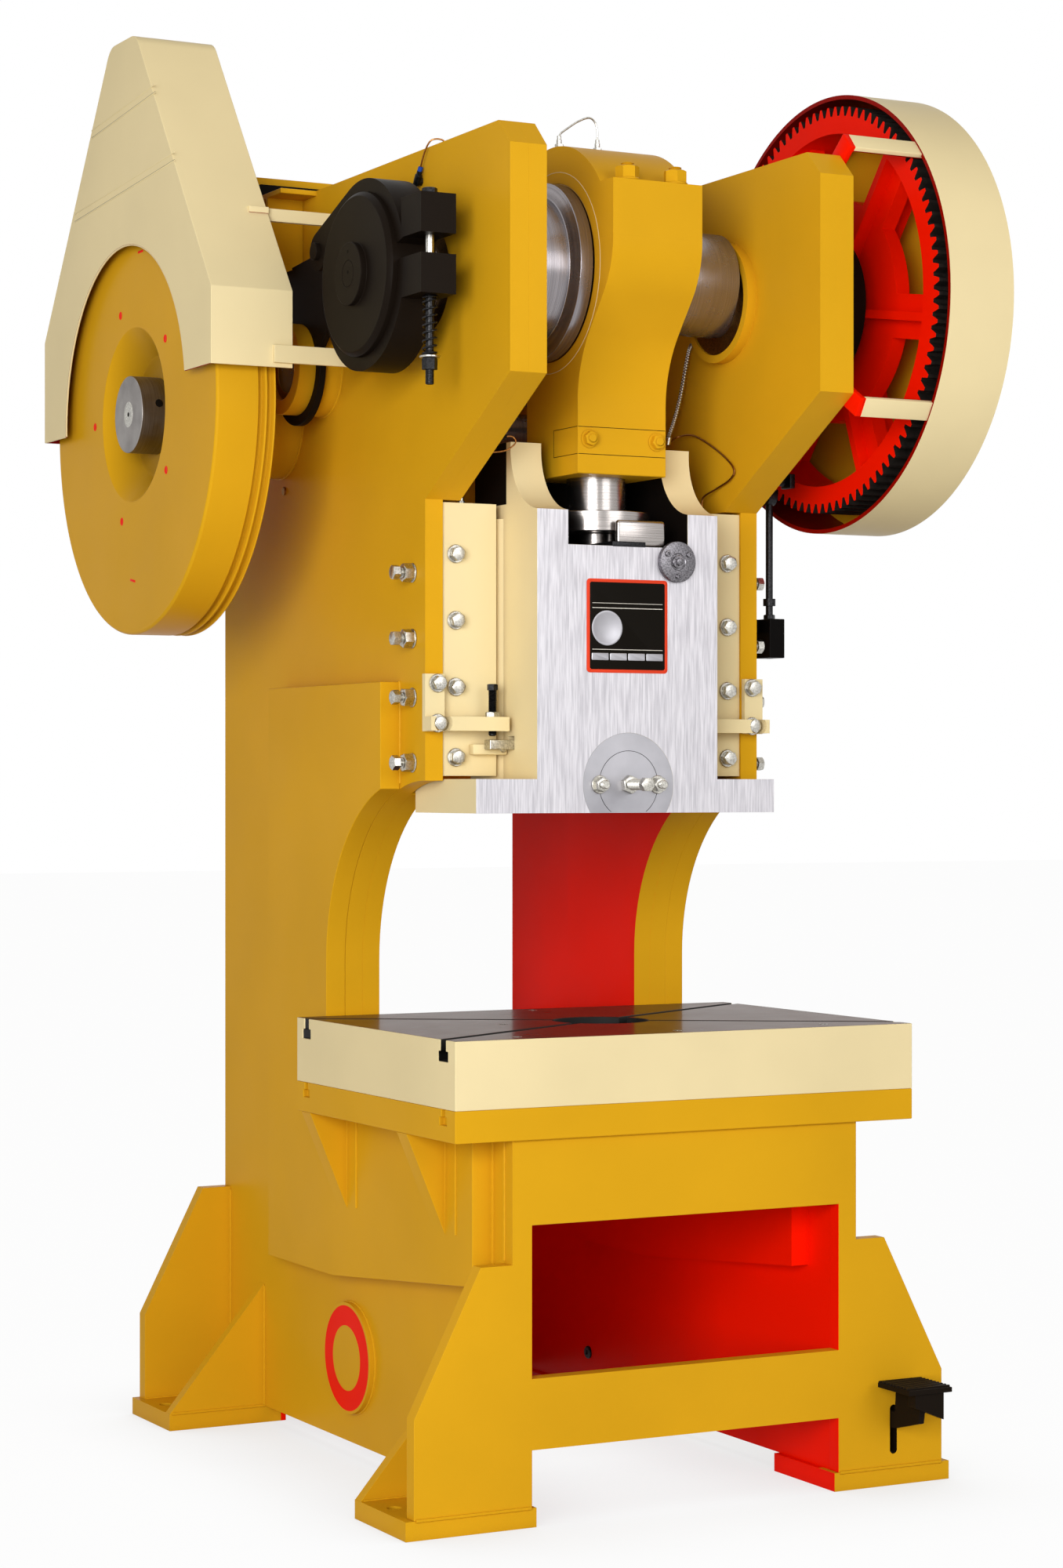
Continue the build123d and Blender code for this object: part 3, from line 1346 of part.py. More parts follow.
for name, turn, ear_z, eye_x in (
    ("upper", 1, ear_upper_z, (shoe_x[0], shoe_mid_x - free_gap / 2)),
    ("lower", -1, ear_lower_z, (shoe_mid_x + free_gap / 2, shoe_x[1])),
):
    ear_edge = ear_z[0] if turn == 1 else ear_z[1]
    ear_angle = 180 - degrees((ear_edge - crank_z) / shoe_r)
    if turn == -1:
        ear_angle -= 360
    start = anchor_angle + turn * shoe_split
    wedge = [crank_centre]
    wedge += [on_drum(3 * shoe_r, start + (ear_angle - start) * step / 4) for step in range(5)]
    with BuildPart() as shoe:
        with BuildSketch(Plane.YZ.offset(shoe_x[0])):
            with Locations(crank_centre):
                Circle(shoe_r)
            add(polygon(Plane.XY, wedge), mode=Mode.INTERSECT)
            with Locations(((ear_front_y + ear_back_y) / 2, sum(ear_z) / 2)):
                Rectangle(ear_back_y - ear_front_y, ear_z[1] - ear_z[0])
        extrude(amount=shoe_x[1] - shoe_x[0])
        tangent = anchor_angle + turn * tangent_turn
        lean = (anchor_eye_r * cos(radians(tangent)), anchor_eye_r * sin(radians(tangent)))
        with BuildSketch(Plane.YZ.offset(eye_x[0])):
            with Locations((pin_y, pin_z)):
                Circle(anchor_eye_r)
            add(polygon(Plane.XY, [
                (pin_y, pin_z),
                (pin_y + lean[0], pin_z + lean[1]),
                on_drum(shoe_r, tangent),
                on_drum(drum_r, (tangent + anchor_angle) / 2),
                on_drum(drum_r, anchor_angle),
            ]))
        extrude(amount=eye_x[1] - eye_x[0])
        x_bar(*shoe_x, crank_centre, drum_r + free_gap, Mode.SUBTRACT)
        x_bar(*shoe_x, (pin_y, pin_z), anchor_pin_r + hole_play, Mode.SUBTRACT)
        z_bar(*ear_z, shoe_mid_x, brake_bolt_y, brake_bolt_r + hole_play, Mode.SUBTRACT)
    shoe.part.label = f"brake_shoe_{name}"
    export_step(shoe.part, f"parts/brake_shoe_{name}.step")

# Anchor plate of the brake, held on the pinion housing, with the shoes' pin
with BuildPart() as brake_anchor_plate:
    brake_plate_x = (shoe_x[1] + 1, shoe_x[1] + 1 + brake_plate_t)
    with BuildSketch(Plane.YZ.offset(brake_plate_x[0])):
        with Locations(brake_disc_centre):
            Circle(brake_disc_r)
        with Locations(pinion_centre):
            Circle(housing_r + 20)
        with Locations((pin_y, pin_z)):
            Circle(anchor_eye_r)
        add(polygon(Plane.XY, [(pin_y, pin_z + anchor_eye_r), *brake_web,
                               (pin_y, pin_z - anchor_eye_r)]))
        with Locations(pinion_centre):
            Circle(housing_r, mode=Mode.SUBTRACT)
        with Locations(crank_centre):
            Circle(drum_r + 6, mode=Mode.SUBTRACT)
    extrude(amount=brake_plate_t)
    x_bar(shoe_x[0] - 10, brake_plate_x[1], (pin_y, pin_z), anchor_pin_r)
    block((brake_plate_x[1], -outer_x), brake_lug_y, brake_lug_z)
brake_anchor_plate.part.label = "brake_anchor_plate"
export_step(brake_anchor_plate.part, "parts/brake_anchor_plate.step")

# Brake bolt with its head, spring seat and nuts
with BuildPart() as brake_bolt:
    z_bar(brake_end_z, brake_head_z - 4, shoe_mid_x, brake_bolt_y, brake_bolt_r)
    hex_prism(Plane(origin=(shoe_mid_x, brake_bolt_y, ear_upper_z[1])), bolt_head_af,
              brake_head_z - ear_upper_z[1])
    z_bar(brake_spring_z[0] - 4, brake_spring_z[0], shoe_mid_x, brake_bolt_y,
          brake_spring_r + 6)
    hex_prism(Plane(origin=(shoe_mid_x, brake_bolt_y, brake_spring_z[0] - 25)), bolt_head_af, 21)
brake_bolt.part.label = "brake_bolt"
export_step(brake_bolt.part, "parts/brake_bolt.step")

# Brake spring, from the seat up to the lower ear, as a coil of short straight lengths
with BuildPart() as brake_spring:
    coil_r = brake_spring_r - brake_spring_wire / 2 + 0.6
    coil_low = brake_spring_z[0] + brake_spring_wire / 2
    coil_rise = ear_lower_z[0] - brake_spring_wire / 2 - coil_low
    coil_steps = 12 * brake_spring_turns
    coil = []
    for step in range(coil_steps + 1):
        around = 2 * pi * step / 12
        coil.append((shoe_mid_x + coil_r * cos(around), brake_bolt_y + coil_r * sin(around),
                     coil_low + coil_rise * step / coil_steps))
    with BuildLine():
        Polyline(*coil)
    with BuildSketch(Plane(origin=coil[0], x_dir=(1, 0, 0), z_dir=(0, 1, 0))):
        RegularPolygon(brake_spring_wire / 2, 6)
    sweep(transition=Transition.RIGHT)
brake_spring.part.label = "brake_spring"
export_step(brake_spring.part, "parts/brake_spring.step")

# Guide block of the trip rod, on a lug from the right side plate
with BuildPart() as trip_block:
    block(trip_block_x, trip_block_y, trip_block_z)
    block((outer_x, trip_block_x[0]), (trip_block_y[1] - trip_lug_t, trip_block_y[1]),
          (trip_block_z[1] - trip_lug_h, trip_block_z[1]))
    z_bar(*trip_block_z, trip_x, trip_y, trip_r + free_gap, Mode.SUBTRACT)
trip_block.part.label = "trip_block"
export_step(trip_block.part, "parts/trip_block.step")

# Trip rod with its collar and upper eye
with BuildPart() as trip_rod:
    z_bar(trip_foot_z, trip_top_z, trip_x, trip_y, trip_r)
    z_bar(*trip_collar_z, trip_x, trip_y, trip_collar_r)
    x_bar(trip_x - trip_eye_w / 2, trip_x + trip_eye_w / 2, (trip_y, trip_top_z), trip_eye_r)
trip_rod.part.label = "trip_rod"
export_step(trip_rod.part, "parts/trip_rod.step")

# Foot pedal: ribbed plate on a lever that turns on a pin inside the leg
with BuildPart() as foot_pedal:
    plate_x = (pedal_x - pedal_plate_w / 2, pedal_x + pedal_plate_w / 2)
    plate_low_z = pedal_top_z - pedal_plate_t
    block(plate_x, pedal_plate_y, (plate_low_z, pedal_top_z))
    for step in range(pedal_ribs):
        rib_y = pedal_plate_y[0] + 7 + pedal_rib_pitch * step
        block(plate_x, (rib_y, rib_y + pedal_rib_w), (pedal_top_z, pedal_top_z + pedal_rib_h))
    lever = polygon(
        Plane.YZ.offset(pedal_x - pedal_lever_t / 2),
        [
            (pedal_pivot_y, pedal_pivot_z + 22),
            (panel_front_y - 12, pedal_pivot_z + 15),
            (pedal_plate_y[1] + 2, plate_low_z),
            (pedal_plate_y[0] + 20, plate_low_z),
            (pedal_plate_y[0] + 30, pedal_pivot_z + 6),
            (panel_front_y - 12, pedal_pivot_z - 15),
            (pedal_pivot_y, pedal_pivot_z - 22),
        ],
    )
    extrude(lever, amount=pedal_lever_t)
    heel = polygon(
        Plane.XZ.offset(-pedal_plate_y[0] - 30),
        [
            (plate_x[0] + 18, plate_low_z),
            (plate_x[1] - 14, plate_low_z),
            (plate_x[1] - 14, plate_low_z - pedal_heel_h[1]),
            (plate_x[0] + 18, plate_low_z - pedal_heel_h[0]),
        ],
    )
    extrude(heel, amount=pedal_heel_l)
    x_bar(pedal_x - pedal_lever_t / 2, pedal_x + pedal_lever_t / 2,
          (pedal_pivot_y, pedal_pivot_z), pedal_hub_r)
    x_bar(pedal_x - pedal_lever_t / 2, pedal_x + pedal_lever_t / 2,
          (pedal_pivot_y, pedal_pivot_z), pedal_pin_r + running_fit, Mode.SUBTRACT)
foot_pedal.part.label = "foot_pedal"
export_step(foot_pedal.part, "parts/foot_pedal.step")
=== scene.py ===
"""Looks of a mechanical stamping press, built round its packed CAD model.

Laid out as a Blender add-on and run as a script. Blender's lengths are in metres; a name that
ends in _mm, and every point of a piece's outline, is in millimetres in the CAD model's frame.
"""

import math
from functools import partial

import bmesh
import bpy
from bpy.props import FloatProperty, FloatVectorProperty, PointerProperty
from mathutils import Matrix, Vector


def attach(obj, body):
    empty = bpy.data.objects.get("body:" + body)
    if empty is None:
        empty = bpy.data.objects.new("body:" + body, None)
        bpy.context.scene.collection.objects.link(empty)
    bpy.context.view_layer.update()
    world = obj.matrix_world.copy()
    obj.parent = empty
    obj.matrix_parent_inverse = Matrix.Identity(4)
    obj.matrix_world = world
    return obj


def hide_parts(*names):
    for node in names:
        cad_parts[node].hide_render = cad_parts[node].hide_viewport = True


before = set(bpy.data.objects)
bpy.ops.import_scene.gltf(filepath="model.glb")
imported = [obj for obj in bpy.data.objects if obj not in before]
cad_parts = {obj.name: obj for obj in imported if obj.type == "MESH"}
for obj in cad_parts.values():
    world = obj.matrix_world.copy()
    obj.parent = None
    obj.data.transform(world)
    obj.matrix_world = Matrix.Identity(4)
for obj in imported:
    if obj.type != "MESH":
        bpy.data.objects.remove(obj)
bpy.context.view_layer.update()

bl_info = {
    "name": "Stamping press",
    "version": (1, 0, 0),
    "blender": (4, 5, 0),
    "location": "3D View > Sidebar > Press",
    "description": "Dresses a C-frame stamping press with paint, metal, fasteners and welds",
    "category": "Add Mesh",
}

MM = 0.001
SIDES = (-1, 1)
FRONT, LEFT, RIGHT, UP = (0, -1, 0), (-1, 0, 0), (1, 0, 0), (0, 0, 1)

# Axes that run along X, as (y, z)
CRANK = (-309, 2210)
CRANK_PIN = (-309, 2240)    # the eccentric's, at the top of the stroke
WHEEL = (354.6, 2013.3)
PINION = (144.1, 2092.8)
BADGE = (13, 196)           # the round pad low on the left side

# Faces that the small pieces and the welds sit on
PLATE_X = 354               # outside of the side plates
BED_Z = 674                 # underside of the bed plate
FOOT_Z = 34                 # top of the feet
RAM_Y = -434                # front of the ram
SHANK_Z = 1290              # middle of the shank clamp

# What makes a Mix node blend colours, and the output that gives the result
COLOUR_MIX = {"out": 2, "data_type": "RGBA"}


def linear_rgb(hex_colour):
    """Linear red, green and blue of an sRGB hex colour."""
    channels = [int(hex_colour[i:i + 2], 16) / 255 for i in (0, 2, 4)]
    return tuple(c / 12.92 if c <= 0.04045 else ((c + 0.055) / 1.055) ** 2.4 for c in channels)


def per_mm(size_mm):
    """Texture scale that makes one feature of a pattern about size_mm wide."""
    return 1000 / size_mm


def shade(colour, factor):
    """A linear colour made darker or lighter."""
    return tuple(c * factor for c in colour)


def rgba(colour):
    """A linear colour with full alpha, as a colour socket takes it."""
    return (*tuple(colour)[:3], 1)


# Settings that a user would change


class PressPaintSettings(bpy.types.PropertyGroup):
    """Colours of the paints."""

    mustard: FloatVectorProperty(name="Mustard", description="Gloss enamel of the frame",
                                 subtype="COLOR", default=linear_rgb("DFA81C"))
    cream: FloatVectorProperty(name="Cream", description="Gloss enamel of guards and guides",
                               subtype="COLOR", default=linear_rgb("F1E0B0"))
    red: FloatVectorProperty(name="Red", description="Enamel inside the frame and on the gear",
                             subtype="COLOR", default=linear_rgb("FF1A00"))
    black: FloatVectorProperty(name="Black", description="Enamel of the brake and the pedal",
                               subtype="COLOR", default=linear_rgb("1B1510"))


class PressDetailSettings(bpy.types.PropertyGroup):
    """Sizes of the small details."""

    edge: FloatProperty(name="Edge rounding", description="Radius on the plates' edges",
                        subtype="DISTANCE", unit="LENGTH", default=0.0016)
    weld_leg: FloatProperty(name="Weld leg", description="Size of the fillet welds",
                            subtype="DISTANCE", unit="LENGTH", default=0.0045)
    weld_ripple: FloatProperty(name="Weld ripple", description="Spacing of the welds' ripples",
                               subtype="DISTANCE", unit="LENGTH", default=0.007)
    thread_pitch: FloatProperty(name="Thread pitch", description="Pitch of the bolts' threads",
                                subtype="DISTANCE", unit="LENGTH", default=0.0025)


class PressStudioSettings(bpy.types.PropertyGroup):
    """The floor, the lamps and the camera."""

    floor: FloatVectorProperty(name="Floor", description="Colour of the floor",
                               subtype="COLOR", default=linear_rgb("D6D6D4"))
    ambient: FloatProperty(name="Ambient", description="Strength of the light from all round",
                           subtype="FACTOR", min=0, default=0.28)
    warmth: FloatVectorProperty(name="Warmth", description="Colour of the light all round",
                                subtype="COLOR", default=linear_rgb("FFF3E2"))
    key: FloatProperty(name="Key lamp", description="Power of the lamp at the left",
                       subtype="POWER", unit="POWER", default=480)
    fill: FloatProperty(name="Fill lamp", description="Power of the lamp in front",
                        subtype="POWER", unit="POWER", default=120)
    lens: FloatProperty(name="Lens", description="Focal length of the camera in mm",
                        subtype="DISTANCE_CAMERA", default=75.86)


# Materials


def node(owner, kind, inputs=None, out=0, **settings):
    """Adds a node to a material or world and gives one of its outputs, if it has any.

    Inputs are values, or the outputs that they come from, by name or number.
    """
    made = owner.node_tree.nodes.new("ShaderNode" + kind)
    for name, value in settings.items():
        setattr(made, name, value)
    for name, value in (inputs or {}).items():
        if isinstance(value, bpy.types.NodeSocket):
            owner.node_tree.links.new(value, made.inputs[name])
        else:
            made.inputs[name].default_value = value
    return made.outputs[out] if made.outputs else made


def new_material(name):
    """An empty material, and the helper that adds nodes to it."""
    material = bpy.data.materials.new(name)
    material.use_nodes = True
    material.node_tree.nodes.clear()
    return material, partial(node, material)


def where(add, axis=(0, 0)):
    """Where a point is, in metres, and which way it faces, as outputs by name.

    Across is negative on faces that look at the middle plane. From the X line through axis, in
    millimetres, reach is the distance and out tells how far a face points away.
    """
    place = add("TexCoord", out="Object")
    normal = place.node.outputs["Normal"]
    x, nx = add("SeparateXYZ", {0: place}), add("SeparateXYZ", {0: normal})
    centre = (0, axis[0] * MM, axis[1] * MM)
    away = add("VectorMath", {0: place, 1: centre}, operation="SUBTRACT")
    away = add("VectorMath", {0: away, 1: (0, 1, 1)}, operation="MULTIPLY")
    return {"place": place, "x": x, "y": x.node.outputs[1], "z": x.node.outputs[2],
            "nx": nx, "ny": nx.node.outputs[1], "nz": nx.node.outputs[2],
            "off_middle": add("Math", {0: x}, operation="ABSOLUTE"),
            "across": add("Math", {0: x, 1: nx}, operation="MULTIPLY"),
            "reach": add("VectorMath", {0: away}, out="Value", operation="LENGTH"),
            "out": add("VectorMath", {0: away, 1: normal}, out="Value",
                       operation="DOT_PRODUCT")}


def zone(add, at, **limits):
    """Output that is 1 where each named value is between its two limits. None is no limit."""
    mark = None
    for name, pair in limits.items():
        for operation, limit in zip(("GREATER_THAN", "LESS_THAN"), pair):
            if limit is None:
                continue
            held = add("Math", {0: at[name], 1: limit}, operation=operation)
            mark = held if mark is None else add("Math", {0: mark, 1: held},
                                                 operation="MULTIPLY")
    return mark


def either(add, first, *others):
    """Output that is 1 in any of the zones."""
    for other in others:
        first = add("Math", {0: first, 1: other}, operation="MAXIMUM")
    return first


def sprayed(add, colour, roughness=0.34, peel=0.04):
    """Sprayed gloss enamel on plate, from a colour or an output.

    Uneven spray gives slow changes of tone, painted shade from ambient occlusion darkens the
    inside corners, and orange peel, drawn 9 mm wide where the real one is 1 to 2 mm, breaks up
    the reflections.
    """
    place = add("TexCoord", out="Object")
    cloud = add("TexNoise", {"Vector": place, "Scale": per_mm(380), "Detail": 3.0})
    tone = add("MapRange", {0: cloud, 1: 0.3, 2: 0.7, 3: 0.94, 4: 1.04})
    toned = add("Mix", {0: 1.0, 6: colour, 7: tone}, blend_type="MULTIPLY", **COLOUR_MIX)
    # Painted shade: ambient occlusion darkens the inside corners towards a brown tint
    corner = add("AmbientOcclusion", {"Distance": 0.03}, out="AO", samples=6)
    corner_shade = add("MapRange", {0: corner, 1: 0.25, 2: 0.75, 3: 0.35, 4: 0.0})
    corner_shaded = add("Mix", {0: corner_shade, 6: toned, 7: rgba(linear_rgb("AD9581"))},
                 blend_type="MULTIPLY", **COLOUR_MIX)
    smear = add("TexNoise", {"Vector": place, "Scale": per_mm(160), "Detail": 2.0})
    gloss = add("MapRange", {0: smear, 1: 0.3, 2: 0.7, 3: roughness - 0.03,
                             4: roughness + 0.03})
    grain = add("TexNoise", {"Vector": place, "Scale": per_mm(9), "Detail": 2.0})
    relief = add("Bump", {"Height": grain, "Strength": peel, "Distance": 0.6 * MM})
    return add("BsdfPrincipled", {"Base Color": corner_shaded, "Roughness": gloss, "Normal": relief,
                                  "Specular IOR Level": 0.03})


def enamel(name, colour, *layers, axis=(0, 0), **finish):
    """Gloss enamel on steel. Each layer is a tint and the limits of the zones that have it."""
    material, add = new_material(name)
    colour = rgba(colour)
    at = where(add, axis) if layers else None
    for tint, *zones in layers:
        mark = either(add, *(zone(add, at, **limits) for limits in zones))
        colour = add("Mix", {0: mark, 6: colour, 7: rgba(tint)}, **COLOUR_MIX)
    add("OutputMaterial", {0: sprayed(add, colour, **finish)})
    return material


def frame_enamel(paint):
    """Mustard gloss enamel of the frame's plates, with red sprayed on the faces inside it.

    It gives the eye a deep warm yellow that turns to orange in shadow, and a glowing red where
    light falls into the throat and the window.
    """
    between = {"off_middle": (None, 0.3187)}
    inward = {**between, "across": (None, -0.15)}
    return enamel(
        "frame_gloss_enamel", paint.mustard,
        (paint.red,
         # Insides of the side plates, and the inner plates up to the bed plate
         {**inward, "z": (None, 1.27), "y": (None, 0.4)},
         {**inward, "z": (0.035, 1.27)},
         {"off_middle": (0.2815, 0.3182), "y": (-0.6, 0.6), "z": (None, 0.6735)},
         # Front of the rear panels and back of the front panel
         {**between, "y": (0.61, None), "ny": (None, -0.5), "z": (None, 1.27)},
         {**between, "y": (None, -0.615), "ny": (0.5, None)},
         # Ring on the badge
         {"x": (None, -0.3655), "reach": (0.062, 0.1)}),
        # Slot of the pedal in the front panel, painted black as painted shade
        (paint.black, {"x": (0.427, 0.445), "y": (-0.6535, -0.624), "z": (0.056, 0.15)}),
        axis=BADGE)


def belt_guard_enamel(paint):
    """Cream enamel outside the belt guard's sheet, red inside, darkened as painted shade: pale
    and crisp at edges.
    """
    return enamel(
        "belt_guard_enamel", paint.cream,
        # Inside of the rim's sheet, and back of the face: red darkened as painted shade
        (shade(paint.red, 0.35),
         {"out": (None, -0.02), "x": (None, -0.5275), "y": (-0.0985, None)},
         {"nx": (0.5, None), "x": (None, -0.68)}),
        axis=WHEEL)


def gear_guard_enamel(paint):
    """Cream enamel outside the gear guard, dark red inside its ring, mustard in its cover.

    The inside is in shade, where the mustard looks like bronze; the red there is painted darker
    as painted shade.
    """
    inward, in_ring = {"nx": (None, -0.5)}, {"reach": (0.4, None)}
    return enamel(
        "gear_guard_enamel", paint.cream,
        # Inside of the ring, and its open edge: red darkened as painted shade
        (shade(paint.red, 0.25), {**in_ring, "out": (None, -0.02)}),
        (shade(paint.red, 0.3), {**in_ring, **inward, "x": (0.4, None)}),
        # Feet of the stays, and inside of the cover
        (paint.red, {"x": (None, 0.3665)}),
        (paint.mustard, {**inward, "x": (0.6, None)}),
        axis=(CRANK[0], 2202))


def flywheel_enamel(paint):
    """Mustard enamel on the turned wheel, darkened in the recess round the hub as painted shade.
    """
    material, add = new_material("flywheel_gloss_enamel")
    reach = where(add, WHEEL)["reach"]
    # Painted shade: half as bright inside a radius of 110 mm, rising to full at 172 mm, the
    # recess's edge
    depth = add("MapRange", {0: reach, 1: 0.11, 2: 0.172, 3: 0.5, 4: 1.0})
    colour = add("Mix", {0: 1.0, 6: rgba(paint.mustard), 7: depth}, blend_type="MULTIPLY",
                 **COLOUR_MIX)
    add("OutputMaterial", {0: sprayed(add, colour)})
    return material


def gear_enamel(paint):
    """Red enamel on the gear's body, with black grease on the flanks of its teeth.

    The faces of the teeth stay bright red, so that each one stands out against the dark.
    """
    material, add = new_material("gear_enamel_and_grease")
    at = where(add, CRANK)
    flanks = zone(add, at, reach=(0.3735, None), nx=(-0.7, 0.7))
    smear = add("TexNoise", {"Vector": at["place"], "Scale": per_mm(8), "Detail": 4.0})
    tint = add("Mix", {0: smear, 6: rgba(linear_rgb("0D0D0D")), 7: rgba(linear_rgb("302B27"))},
               **COLOUR_MIX)
    relief = add("Bump", {"Height": smear, "Strength": 0.3, "Distance": 1 * MM})
    grease = add("BsdfPrincipled", {"Base Color": tint, "Roughness": 0.3, "Normal": relief,
                                    "Specular IOR Level": 0.4})
    painted = sprayed(add, rgba(paint.red))
    add("OutputMaterial", {0: add("MixShader", {0: flanks, 1: painted, 2: grease})})
    return material


def bare_steel(add, dark, light, roughness, stretch=(1, 1, 1), mark_mm=3.0, metallic=1.0,
               relief=0.12, edge="DADADA"):
    """Bare metal whose tool marks run along the axes that have a low stretch.

    The marks are drawn 1.5 to 4 mm wide, coarser than the real ones, so that they show. Dark,
    light and edge, the tint at grazing angles, are hex colours.
    """
    place = add("TexCoord", out="Object")
    lay = add("Mapping", {"Vector": place, "Scale": stretch})
    marks = add("TexNoise", {"Vector": lay, "Scale": per_mm(mark_mm), "Detail": 5.0})
    level = add("MapRange", {0: marks, 1: 0.34, 2: 0.66})
    colour = add("Mix", {0: level, 6: rgba(linear_rgb(dark)), 7: rgba(linear_rgb(light))},
                 **COLOUR_MIX)
    smear = add("TexNoise", {"Vector": place, "Scale": per_mm(45), "Detail": 4.0})
    gloss = add("MapRange", {0: smear, 1: 0.3, 2: 0.7, 3: 0.85 * roughness,
                             4: 1.2 * roughness})
    bump = add("Bump", {"Height": marks, "Strength": relief, "Distance": 0.3 * MM})
    return add("BsdfPrincipled", {"Base Color": colour, "Metallic": metallic,
                                  "Roughness": gloss, "Normal": bump,
                                  "Specular Tint": rgba(linear_rgb(edge))})


def metal(name, dark, light, roughness, **finish):
    """One kind of bare metal."""
    material, add = new_material(name)
    add("OutputMaterial", {0: bare_steel(add, dark, light, roughness, **finish)})
    return material


def ram_finish(paint):
    """Cast iron ram: its face surface-ground, its sides in cream enamel, its pocket dark, and
    near black above the gibs as painted shade.

    The upright grinding marks give the eye a pale grey silk. They are drawn 3 mm wide, where
    the real ones are under 1 mm, so that they show.
    """
    material, add = new_material("ram_ground_iron_and_enamel")
    at = where(add)
    pocket = zone(add, at, off_middle=(None, 0.1262), y=(-0.433, None), z=(1.5, None))
    # Painted shade: the sides above the gibs are near black, like the shaded space behind the
    # gibs' tops
    guide_shade = zone(add, at, off_middle=(0.185, None), y=(-0.312, None), z=(1.807, None))
    colour = add("Mix", {0: either(add, pocket, guide_shade), 6: rgba(paint.cream),
                         7: rgba(linear_rgb("14100E"))}, **COLOUR_MIX)
    face = either(add, zone(add, at, y=(None, -0.4325), ny=(None, -0.75)),
                  zone(add, at, z=(None, 1.2395), nz=(None, -0.75)))
    ground = bare_steel(add, "BDBBC2", "DDDBE1", 0.45, stretch=(1, 1, 0.05), metallic=0.45,
                        relief=0.08)
    add("OutputMaterial", {0: add("MixShader", {0: face, 1: sprayed(add, colour),
                                                2: ground})})
    return material


def bolster_finish(paint):
    """Steel bolster: its top ground and tinted brown, its slots painted black as painted shade,
    its sides cream.

    The top's dark brown is painted reflection of the red throat and the mustard frame, which it
    also mirrors. Its marks are drawn 4 mm wide, where the real ones are under 1 mm.
    """
    material, add = new_material("bolster_steel_painted_reflection_and_enamel")
    at = where(add)
    # Painted reflection: the ground steel and the layer over it are tinted brown for the warm
    # frame that the top mirrors
    ground = bare_steel(add, "6E5242", "8F6C59", 0.14, stretch=(0.02, 1, 1), mark_mm=4,
                        relief=0.03, edge="8C7A70")
    top_reflection_tint = sprayed(add, rgba(linear_rgb("5F4132")), peel=0.0)
    tinted_top = add("MixShader", {0: 0.5, 1: top_reflection_tint, 2: ground})
    # Painted shade: the slots' walls and floors are near black
    slot_shade = add("BsdfPrincipled", {"Base Color": rgba(linear_rgb("1B1918")),
                                  "Roughness": 0.6, "Specular IOR Level": 0.2})
    slots = zone(add, at, off_middle=(None, 0.468), y=(-0.6625, 0.0075), z=(0.7305, None))
    top = zone(add, at, z=(0.8485, None), nz=(0.9, None))
    sides = add("MixShader", {0: slots, 1: sprayed(add, rgba(paint.cream)), 2: slot_shade})
    add("OutputMaterial", {0: add("MixShader", {0: top, 1: sides, 2: tinted_top})})
    return material


MATERIALS = {}


